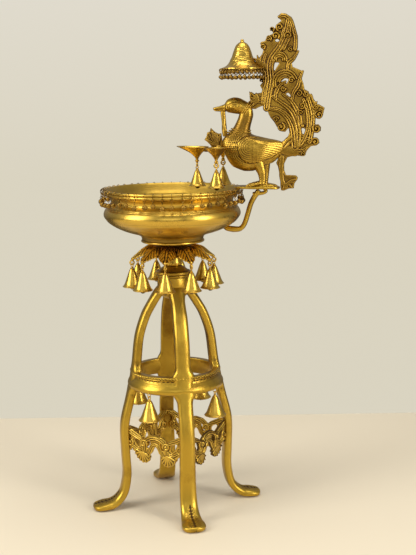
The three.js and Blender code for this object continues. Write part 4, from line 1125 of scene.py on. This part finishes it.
def bird_body_grid():
    """Ovals stacked by height from breast line to back line, pushed out along the side by the feather pattern."""
    z = np.concatenate([np.linspace(511, 552, 84), np.linspace(552.3, 566, 70),
        np.linspace(566.5, 602, 60)])
    look = lambda table: np.interp(z, *curve(table, 160).T)[:, None]
    front, back, wide = look(BREAST), look(BACK), look(WIDTH)
    a = np.linspace(0, 2 * np.pi, 300, endpoint=False)[None]
    c, s = np.cos(a), np.sin(a)
    middle, half = (front + back) / 2, (back - front) / 2
    taper = 1 - 0.55 * smoothstep(c, 0.2, 1) * smoothstep(half, 22, 34)
    x = middle + half * np.sign(c) * np.abs(c) ** 0.92
    y = wide * np.sign(s) * np.abs(s) ** 0.92 * taper
    body_part = 1 - smoothstep(z[:, None], 560, 566)
    lift = feathering(x, np.repeat(z[:, None], 300, 1)) * body_part * np.abs(s) ** 0.35
    neck_part = smoothstep(z[:, None], 570, 574)
    lift = lift + 0.05 * neck_part * np.sin(z[:, None] * 2.3 + 2 * np.cos(a))
    y = y + np.sign(s) * lift * np.abs(s) ** 0.5
    x = x + lift * c * 0.6
    grid = np.stack([x, y, np.repeat(z[:, None], 300, 1)], -1)
    ends = [np.repeat(grid[i:i + 1].mean(1, keepdims=True), 300, 1) for i in (0, -1)]
    return moved((np.concatenate([ends[0], grid, ends[1]]), False, True), (0, 0, BIRD_Z))


def beaded_ring(centre, across, wide, tilt, wire, beads):
    """Row of beads round an oval neck: a tube whose section swells beads times as it goes round."""
    a = np.linspace(0, 2 * np.pi, beads * 6, endpoint=False)
    x, y = across * np.cos(a), wide * np.sin(a)
    path = np.stack([centre[0] + x * math.cos(tilt), y, centre[1] + x * math.sin(tilt)], 1)
    swell = 0.62 + 0.38 * np.abs(np.sin(a * beads / 2))
    return moved(tube(path, wire * swell, 10, (math.sin(tilt), 0, -math.cos(tilt)), closed=True),
        (0, 0, BIRD_Z))


# %% Bird's head
head = ovals(np.array([(80.6, 603.6, 4.6, 4.2), (84, 604.4, 8.6, 7.0), (89, 605, 10.6, 9.0),
    (95, 605, 11.6, 10.0),
                       (102, 604, 11.5, 10.0), (108, 602, 10.6, 9.4), (114, 599.6, 9.4, 8.4),
                           (119, 597, 6.2, 5.6)])
             + np.array([0, BIRD_Z, 0, 0]), 70, 72)
beak = [ovals(np.array([(82, 603.6, 4.4, 5.0), (78, 602.6, 3.7, 4.3), (72, 601.6, 2.6, 3.8),
    (66.5, 601.0, 2.1, 3.5),
                        (63.4, 600.9, 1.1, 1.8)]) + np.array([0, BIRD_Z, 0, 0]), 36, 28),
        ovals(np.array([(82, 599.6, 3.0, 4.6), (77, 598.6, 2.1, 3.8), (71, 598.2, 1.6, 3.2),
            (66.5, 598.4, 1.3, 2.9),
                        (64.2, 598.8, 0.6, 1.4)]) + np.array([0, BIRD_Z, 0, 0]), 36, 28)]
bird = [bird_body_grid(), head, *beak]


def eye_patch(hand):
    """Almond patch: a low dome on the cheek, sunk inside a raised rim, with a round pupil in the middle."""
    t = np.linspace(0, 1, 26)[:, None]
    a = np.linspace(0, 2 * np.pi, 60, endpoint=False)[None]
    r = t * (1 + 0.16 * np.abs(np.cos(a)) ** 3)
    lift = 1.3 * np.exp(-(((t - 0.82) / 0.10) ** 2)) - 1.5 * np.exp(-(((t - 0.64) / 0.09) ** 2))
    lift = lift + 1.25 * np.sqrt(np.clip(1 - (t / 0.46) ** 2, 0,
        1)) - 0.8 * np.exp(-((t / 0.12) ** 2)) - 1.2 * t**8
    px, pz = 94.4 + 11.2 * r * np.cos(a), 603.6 + 7.0 * r * np.sin(a) + 1.4 * np.cos(a) * t
    bulge = 9.6 * np.sqrt(np.clip(1 - ((px - 97) / 22) ** 2 - ((pz - 604.5) / 14) ** 2, 0.05, 1)) + 0.35
    y = hand * (bulge + lift)
    top = np.stack([px, y, pz + BIRD_Z], -1)
    sunk = top[-1:] * np.array([1, 0, 1]) + np.array([0, hand * 4.0, 0])
    pole = np.repeat(sunk.mean(1, keepdims=True), 60, 1)
    return np.concatenate([top, sunk, pole]), False, True


bird += [eye_patch(-1), eye_patch(1)]
for shift in (0, 2.6, 5.0):
    bird.append(beaded_ring((110.5 + shift * 0.6, 600.4 - shift * 0.9), 11.4 - shift * 0.12,
        9.4 - shift * 0.12, 1.02, 1.15, 26))
bird.append(beaded_ring((81.4, 602.0), 5.2, 5.4, 1.45, 1.15, 12))
for z, x, long, wide in ((570.4, 103.6, 14.6, 11.6), (567.6, 102.0, 16.2, 12.4),
    (564.9, 100.6, 19.2, 13.0)):
    bird.append(beaded_ring((x, z), long - 0.6, wide - 0.5, -0.10, 0.95, 40))

# %% [markdown]
# The legs start as thick thighs under the belly and thin to a ringed shank. Three long
# toes grip the mound in front and a short one behind.

# %% Bird's legs
for hand, shift in ((-1, 0.0), (1, 7.0)):
    thigh = curve([(128 + shift, hand * 8, 528), (131 + shift * 0.8, hand * 9, 519),
        (134.4 + shift * 0.4, hand * 9, 509),
                   (135.4 + shift * 0.3, hand * 9, 500), (134.8 + shift * 0.3, hand * 9, 492.5)],
                       50) + np.array([0, 0, BIRD_Z])
    girth = np.interp(np.linspace(0, 1, 50), [0, 0.25, 0.5, 0.75, 0.92, 1], [9.6, 8.2, 6.2, 4.9, 4.5, 4.9])
    bird.append(tube(thigh, girth, 24, (0, 1, 0), 0.8, twist=lambda t,
        a: 1 + 0.035 * np.sin(70 * t) * smoothstep(t, 0.5, 0.6)))
    for spread, reach, drop in ((-5.4, 19, 0.9), (0, 23, 0.6), (5.4, 18, 0.9), (1.0, -8.5, 0.4)):
        toe = curve([(134.6 + shift * 0.3, hand * 9, 494.2),
            (134.6 - reach * 0.35, hand * 9 + spread * 0.5, 494.0 - drop),
                     (134.6 - reach * 0.75, hand * 9 + spread * 0.95, 491.9 - drop),
                         (134.6 - reach, hand * 9 + spread, 490.3 - drop)], 26)
        size = np.interp(np.linspace(0, 1, 26), [0, 0.5, 0.8, 1], [2.6, 1.9, 1.8, 0.7])
        bird.append(tube(toe + np.array([0, 0, BIRD_Z]), size, 12, (0, 1, 0), 1.0, twist=lambda t,
            a: 1 + 0.08 * np.sin(26 * t)))
build("feathered_bird", bird, feathered, "bowl_and_perch", ["bird_body"])

# %% [markdown]
# ## Lamp cups, their leaf and the rod
# Three wick cups are shallow teardrops: a round bowl whose rim is pulled out into a spout
# for the wick. The radius at each angle grows with the cube of the cosine, so only the
# spout sticks out. A turned stem and an eye hang under each for its bell.

# %% Cups
CUP_X, CUP_Z = PX - 29.5, RIM_Z + 60.5


def cup_grid():
    """Teardrop shell: outside from the pole up to the rim, a rounded lip, then inside down to a second pole."""
    a = np.linspace(0, 2 * np.pi, 72, endpoint=False)[None]
    spout = np.maximum(0, np.cos(a)) ** 3.4
    def level(share, drop, inset=0.0):
        """Rows of the shell: radius is a share of the teardrop rim, less an inset; height is minus the drop."""
        share, drop = np.asarray(share)[:, None], np.asarray(drop)[:, None]
        r = np.maximum((17.2 + 12.6 * spout * share) * share - inset, 0)
        return np.stack([r * np.cos(a), r * np.sin(a), -drop + 1.0 * spout * share**3 + 0 * a], -1)
    out_side = curve([(0.0, 17.4), (0.10, 17.2), (0.17, 15.8), (0.26, 13.4), (0.42, 9.8), (0.68, 5.6),
        (0.90, 2.2), (1.0, 0.9)], 40)
    lip = level([1.005, 0.99, 0.955], [0.35, 0.0, 0.05])
    in_side = curve([(0.93, 0.5), (0.85, 2.2), (0.62, 5.4), (0.40, 8.8), (0.24, 11.0), (0.12, 12.3),
        (0.0, 12.5)], 30)
    shell = np.concatenate([level(out_side[:, 0], out_side[:, 1]), lip,
        level(in_side[:, 0], in_side[:, 1], 0.7)])
    return shell, False, True


stem_side = [(0, -16.4)] + [tuple(p) for p in curve([(2.6, -16.6), (2.0, -18), (1.7, -18.8), (2.9, -20.2),
    (2.9, -21.2),
                                                      (1.7, -22.4), (1.4, -23.4)], 30)] + [(0, -23.8)]
for side, bearing in (("left", 180), ("front", 270), ("back", 90)):
    stem = turned(np.array(stem_side)[::-1], 28)
    eye = ring((0, 0, -25.6), 3.1, 1.05, "yz", 10, 26)
    parts = [spin(grid, bearing, (33.5, 0, 0)) for grid in (cup_grid(), stem, eye)]
    build(f"wick_cup_{side}", [moved(grid, (CUP_X, 0, CUP_Z)) for grid in parts], buffed, "bowl_and_perch",
        [f"lamp_cup_{side}"])

# %% [markdown]
# The leaf stands over a three-armed spider that carries the cups against the breast. The
# rod from the beak is a rough bar with a slow twist.

# %% Leaf and rod
leaf_outline = [(-24.6, 58), (-25, 68), (-26.6, 79.5), (-31, 79), (-35.5, 81.4), (-38.6, 84), (-42, 87.4),
    (-43.6, 82),
                (-47.6, 80.6), (-48.4, 75.6), (-51.8, 70), (-48, 67.4), (-44, 63.6), (-40, 58)]
leaf_strands = []
for tip in [(-27.5, 78), (-32, 78.5), (-36.5, 80), (-41.6, 85.6), (-44.6, 79), (-49.8, 70.6), (-43.5, 65)]:
    leaf_strands.append(strand([(-32, 60), ((-31 + tip[0]) / 2 - 1, (62 + tip[1]) / 2), tip],
        [1.4, 2.4, 1.2], 2.9, 2, 30))
leaf_points, leaf_faces = relief(leaf_strands, leaf_outline, [], 0.6, 1.6, 1.2)
leaf_points = leaf_points + np.array([PX, 0, RIM_Z])
spider = [turned(curve([(0, -5.4), (5.6, -5.2), (6.4, -3), (6.2, 1), (5.0, 3.4), (0, 3.8)], 30), 40)]
for bearing in (180, 270, 90):
    arm = tube(curve([(2, 0, -1.4), (12, 0, -2.2), (19, 0, -4.2), (25.4, 0, -3.4)], 30),
        np.linspace(3.2, 2.0, 30), 16, (0, 1, 0), 1.0)
    spider.append(spin(arm, bearing))
spider = [moved(grid, (CUP_X, 0, CUP_Z - 1.4)) for grid in spider]
build("cup_leaf", spider, scrolled, "bowl_and_perch", ["lamp_leaf"], flat=[(leaf_points, leaf_faces)])
low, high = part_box("beak_rod")
foot, head_end = low.z * 1000, high.z * 1000
rod_path = curve([(80.6, 0, foot + 0.4), (79.6, 0, foot + 10), (78.6, 0, foot + 22),
    (77.6, 0, head_end - 0.4)], 80)
rod_w = np.interp(np.linspace(0, 1, 80), [0, 0.03, 0.3, 0.6, 0.97, 1], [2.6, 3.5, 3.8, 3.2, 3.5, 2.8])
rod = tube(rod_path, rod_w, 20, (0, 1, 0), 1.0, twist=lambda t, a: 1 + 0.075 * np.cos(3 * a + 9 * t))
build("beak_rod_bar", [rod], scrolled, "bowl_and_perch", ["beak_rod"])

# %% [markdown]
# ## Canopy
# A bell-shaped hood shades the flame: a finial, a hammered shoulder and a flared skirt.
# Hammer facets come from noise-free sums of cosines, so the dome keeps its outline. Two
# rows of jingle bells hang at the hem.

# %% Canopy
CANOPY_X = PX + 5.0
hood_out = curve([(0, 212.2), (1.6, 211.8), (2.6, 210.6), (2.5, 209.2), (3.2, 208.2), (5.6, 206.9),
    (8.0, 204.8), (9.8, 202.2),
                  (11.3, 198.8), (13.0, 194), (14.8, 188.6), (17.0, 184), (20.0, 178.4), (24.2, 174.6),
                      (28.6, 172.6), (31, 171.8)], 130)
hood_in = curve([(31.2, 170.6), (29.8, 170.0), (24, 172.6), (18.4, 177), (15.2, 182.6), (12.0, 191),
    (9.6, 199.0), (5, 202.2), (0, 202.8)], 60)


def hammered(r, z, a):
    """Small facets: the product of two slow ripples round and down the dome, faded out at finial and hem."""
    on = smoothstep(r, 6, 11) * (1 - smoothstep(r, 27, 30))
    ripple = np.cos(13 * a + z * 0.9) * np.cos(7 * a - z * 1.3) + 0.6 * np.cos(19 * a - z * 0.5)
    groove = -0.3 * np.exp(-(((z - RIM_Z - 181) / 0.6) ** 2)) - 0.25 * np.exp(-(((z - RIM_Z - 197) / 0.5) ** 2))
    return on * (0.16 * ripple + groove)


hood = turned(np.concatenate([hood_out, hood_in]) + np.array([0, RIM_Z]), 200, hammered)
build("flame_hood", [moved(hood, (CANOPY_X, 0, 0))], belled, "bowl_and_perch", ["canopy"])
HEM_Z = RIM_Z + 168.6
hem = np.stack([30.4 * np.cos(np.linspace(0, 2 * np.pi, 60, endpoint=False)),
                30.4 * np.sin(np.linspace(0, 2 * np.pi, 60, endpoint=False)), np.full(60, HEM_Z)], 1)
fringe = [tube(hem, 0.7, 8, (0, 0, 1), closed=True)]
for k, (size, drop) in enumerate(zip(rng.uniform(2.6, 3.2, 30), rng.uniform(0, 1.2, 30))):
    turn_by = 12.0 * (k + 0.5)
    fringe.append(spin(ring((0, 0, 0), 2.3, 0.5, "xz", 6, 12), turn_by, (31.0, 0, HEM_Z + 0.4)))
    fringe.append(spin(jingle(size * 0.7), turn_by + 6, (31.6, 0, HEM_Z - 2.6)))
    fringe.append(spin(ring((0, 0, 0), 2.0, 0.5, "yz", 6, 12), turn_by,
        (31.6, 0, HEM_Z - 3.6 - drop * 0.5)))
    fringe.append(spin(jingle(size), turn_by, (31.8, 0, HEM_Z - 6.2 - drop - size)))
build("hood_bell_string", [moved(grid, (CANOPY_X, 0, 0)) for grid in fringe], strung, "bowl_and_perch",
    ["canopy_ghungroos"])

# %% [markdown]
# ## Plume
# The tail rises into a tall pierced scroll. On the real casting, bundles of parallel ribs
# sweep up from the tail, split, and curl into volutes, with fan leaves on the outer edge.
# The outline and holes come first, then each bundle as a strand with its number of ribs,
# then the volutes on top.

# %% Plume outline
P_OUT = [
    (157, 729), (162.5, 733.2), (169, 732.6), (177, 727.4), (180, 722), (179.6, 716), (184, 706),
        (184.6, 695), (181.4, 684),
    (187, 680.4), (181.6, 673.6), (176.4, 667.4), (178.6, 658.4), (188, 654.4), (193, 652.2), (189.8, 646),
        (194, 634.4),
    (195.6, 626.4), (201, 624), (205.6, 611.4), (210.6, 609), (217, 601.4), (224, 600.2), (221.6, 589.2),
        (214, 588),
    (209, 582.4), (209.6, 577), (215.4, 577.2), (219, 573.2), (218.6, 567.6), (213.6, 565), (207, 567),
        (205, 560.2),
    (208.4, 557.6), (215.4, 556), (217, 550.6), (212.6, 547), (204.6, 546), (199, 540), (197, 535),
        (191.6, 531.6),
    (182.6, 533), (170.6, 530), (166.2, 521), (166.2, 512), (168.6, 505), (183, 504.4), (186, 501.4),
        (185, 498), (181, 493),
    (180, 485.4), (172.6, 485), (165.6, 482), (161.5, 482.4), (160.4, 489), (160.4, 500), (157, 517),
        (154.4, 522),
    (160, 536), (163.6, 553.6), (169.6, 556), (173.6, 565), (172.6, 572.6), (167.6, 566.6), (161.6, 567.4),
        (155.6, 574),
    (151.6, 581), (146.6, 587), (144, 592), (139.6, 604), (133.6, 603.6), (127.6, 601), (125, 599.4),
        (120, 600), (117, 612),
    (116, 625), (121.6, 621), (134.6, 623), (136, 625), (131.6, 633), (137.6, 640), (138, 644), (130, 656),
        (130, 671),
    (135, 677), (136.6, 682), (132, 692), (134, 694), (139, 695), (142, 701), (150, 705), (152, 708),
        (155, 716), (158.6, 720),
    (162.6, 722.6), (159.6, 726)]
P_HOLES = [
    curve([(159, 664), (152, 663.6), (148, 655), (147, 651), (151, 651.4), (155.6, 658)], 30, True),
    curve([(161.6, 637.4), (166.6, 642), (171.6, 644), (172.6, 641), (170, 635.4), (166, 636)], 24, True),
    curve([(167.6, 617.4), (171.6, 613), (175.4, 617.4), (171.6, 622)], 20, True),
    curve([(153.6, 695.4), (156.6, 693.6), (159.6, 695.4), (156.6, 697.4)], 16, True),
    curve([(190.6, 571), (196, 570.6), (195, 565), (189, 552), (186.6, 552), (189.6, 562)], 24, True)]

# %% Plume strands
W = lambda start, mid, end: [start, (start + mid) / 2, mid, (mid + end) / 2, end]
arc = lambda cx, cz, r, a0, a1: [(cx + r * math.cos(math.radians(a)), cz + r * math.sin(math.radians(a)))
                                 for a in np.linspace(a0, a1, 7)]
plume_strands = [
    strand([(182, 545), (181, 560), (178, 575), (171, 588), (160, 597), (147, 600)], W(6.5, 5.4, 2.6), 4.4,
        3),
    strand([(186, 548), (187, 562), (184, 580), (176, 597), (163, 608), (150, 617)], W(5.6, 4.6, 2.4), 4.2,
        2),
    strand([(189, 575), (188, 588), (182, 602), (175, 612), (165, 620)], W(4.6, 3.8, 2.2), 4.0, 2),
    strand([(177, 556), (172, 553), (166, 546), (158, 540)], W(6.5, 5.5, 4.5), 3.8, 2),
    strand([(141, 601), (144, 620), (147, 640), (146, 658), (150, 672), (161, 687), (169, 704), (173, 722)],
        W(5.4, 6.0, 4.6), 4.3, 3),
    strand([(136, 608), (137, 622), (141, 636), (141, 650), (137, 664), (140, 676)], W(3.0, 3.6, 2.4), 3.8,
        2),
    strand([(190, 548), (197, 560), (201, 576), (199, 598), (194, 612)], W(3.4, 3.6, 2.6), 4.0, 2),
    strand([(203, 552), (206, 570), (207, 590), (202, 610), (196, 624)], W(3.8, 4.0, 2.4), 4.1, 2),
    strand([(207, 588), (212, 596), (222, 599)], W(2.6, 3.0, 1.4), 3.8, 2),
    strand([(200, 612), (204, 618), (208, 608)], W(2.4, 2.6, 1.2), 3.6, 1),
    strand([(193, 652), (189, 642), (186, 631), (180, 622), (178, 613)], W(1.6, 3.8, 2.4), 4.1, 2),
    strand([(186.6, 680), (180, 670), (173, 664), (171, 655)], W(1.4, 3.6, 2.2), 4.0, 2),
    strand([(182, 683), (183, 697), (180, 710), (176, 722), (168, 729), (160, 728)], W(3.4, 3.2, 2.6), 4.2,
        2),
    strand([(166, 684), (170, 692), (174, 702), (174, 714)], W(3.0, 3.6, 2.6), 4.0, 2),
    strand([(160, 682), (162, 692), (164, 702), (166, 712)], W(2.6, 3.0, 2.0), 3.8, 2),
    strand([(184, 566), (193, 560), (203, 556), (214, 552)], W(3.6, 3.0, 2.2), 3.8, 2),
    strand([(168, 638), (160, 632), (154, 620), (155, 611)], W(1.8, 3.8, 1.8), 4.0, 2),
    strand([(199, 544), (193, 540), (184, 540), (176, 541)], W(2.2, 3.4, 3.2), 3.6, 2)]
for r, height in ((17.5, 4.2), (14.2, 4.4), (10.9, 4.2), (8.0, 4.0)):
    plume_strands.append(strand(arc(168, 636, r, 200 if r > 12 else 170, 20), W(1.4, 1.75, 1.2), height, 1))
for r, height in ((10.6, 4.1), (7.6, 4.3), (4.9, 4.0)):
    plume_strands.append(strand(arc(160, 668, r, 190, -10), W(1.2, 1.5, 1.0), height, 1))
for x, z, r, hand, start in (
        (154.5, 701.6, 5.4, 1, 320), (172.4, 702, 5.4, -1, 200), (144.6, 698.6, 4.2, 1, 320),
            (161.6, 573.6, 6.0, -1, 60),
        (154.6, 584.6, 4.0, 1, 20), (213, 571, 6.0, 1, 150), (211, 552.4, 5.4, -1, 150),
            (193, 535.4, 3.8, -1, 80),
        (199, 553, 2.8, 1, 0), (216.4, 590.4, 5.0, 1, 190), (212, 602.4, 4.2, 1, 190),
            (188, 621, 4.2, -1, 90),
        (198, 620, 4.0, 1, 180), (177, 640, 3.8, 1, 60), (165, 628, 4.0, -1, 0), (192.4, 604, 4.6, 1, 250),
            (190, 594, 4.0, -1, 250),
        (176, 683, 3.2, 1, 90), (160.4, 714, 5.4, -1, 240), (136, 687, 4.0, 1, 300),
            (134, 640, 3.4, 1, 330), (149, 711, 3.6, 1, 300)):
    plume_strands.append(scroll(x, z, r, 1.35, start, hand, 5.2, r * 0.30))
for x, z, r, height in ((193, 575, 2.6, 5.6), (211.4, 571.2, 1.7, 5.8), (161.6, 573.6, 1.6, 5.9),
    (154.5, 701.6, 1.5, 5.8),
                        (172.4, 702, 1.5, 5.8), (211, 552.4, 1.6, 5.7), (216.4, 590.4, 1.4, 5.6)):
    plume_strands.append(strand([(x - 0.1, z), (x + 0.1, z)], [r, r], height, 1, 4))
for cx, cz, tips in (((128), 663, [(124, 671), (128, 675), (133, 672), (136, 666)]),
                     (214, 606, [(208, 612), (213, 609), (218, 603), (223, 600)]),
                     (126, 612, [(118, 602), (117.6, 609), (117.4, 617), (119, 623), (126, 622)]),
                     (174, 496, [(164, 484), (170, 486), (177, 487), (183, 499), (181, 494)])):
    for tip in tips:
        root = ((cx * 2 + 137) / 3, cz - 1) if cx < 150 else (cx - 4, cz - 3)
        plume_strands.append(strand([root, ((root[0] + tip[0]) / 2, (root[1] + tip[1]) / 2 + 0.8), tip],
            [1.3, 2.1, 1.0], 3.5, 1, 24))
plume_strands += [
    strand([(139, 661), (131, 664), (127, 666)], W(4.4, 4.2, 2.0), 3.4, 1),
    strand([(142, 612), (132, 612), (122, 611)], W(5.6, 5.2, 3.0), 3.5, 3),
    strand([(181, 539), (172, 540), (165, 541)], W(7.5, 7.5, 6.0), 3.4, 1),
    strand([(163, 530), (162, 515), (163, 498), (168, 488)], W(3.6, 3.4, 3.0), 3.7, 1)]
plume_points, plume_faces = relief(plume_strands, P_OUT, P_HOLES, 0.51, 2.2, 1.5)
plume_points = plume_points + np.array([0, 0, RIM_Z - 486.0])
build("scroll_plume", [], scrolled, "bowl_and_perch", ["plume"], flat=[(plume_points, plume_faces)])

# %% [markdown]
# The stand is shown on a pale board, which sits at the height of the feet and runs towards the
# camera and to both sides. Its far edge is turned square to the line of sight, so the wall meets it
# on a level line. The board is only for looking at, and it is outside the measured object.

# %% Stage and finish
floor_mesh = bpy.data.meshes.new("pale_floor")
FAR_EDGE = 0.456
across = np.array([math.cos(HEADING), math.sin(HEADING), 0.0])
away = np.array([-math.sin(HEADING), math.cos(HEADING), 0.0])
corners = [across * x + away * y for x, y in ((-3, -3), (3, -3), (3, FAR_EDGE), (-3, FAR_EDGE))]
floor_mesh.from_pydata(corners, [], [(0, 1, 2, 3)])
floor = bpy.data.objects.new("pale_floor", floor_mesh)
bpy.context.scene.collection.objects.link(floor)
board = bpy.data.materials.new("pale_board")
board.use_nodes = True
paint_coat = board.node_tree.nodes["Principled BSDF"]
paint_coat.inputs["Base Color"].default_value = (0.74, 0.655, 0.50, 1)
paint_coat.inputs["Roughness"].default_value = 0.55
floor_mesh.materials.append(board)
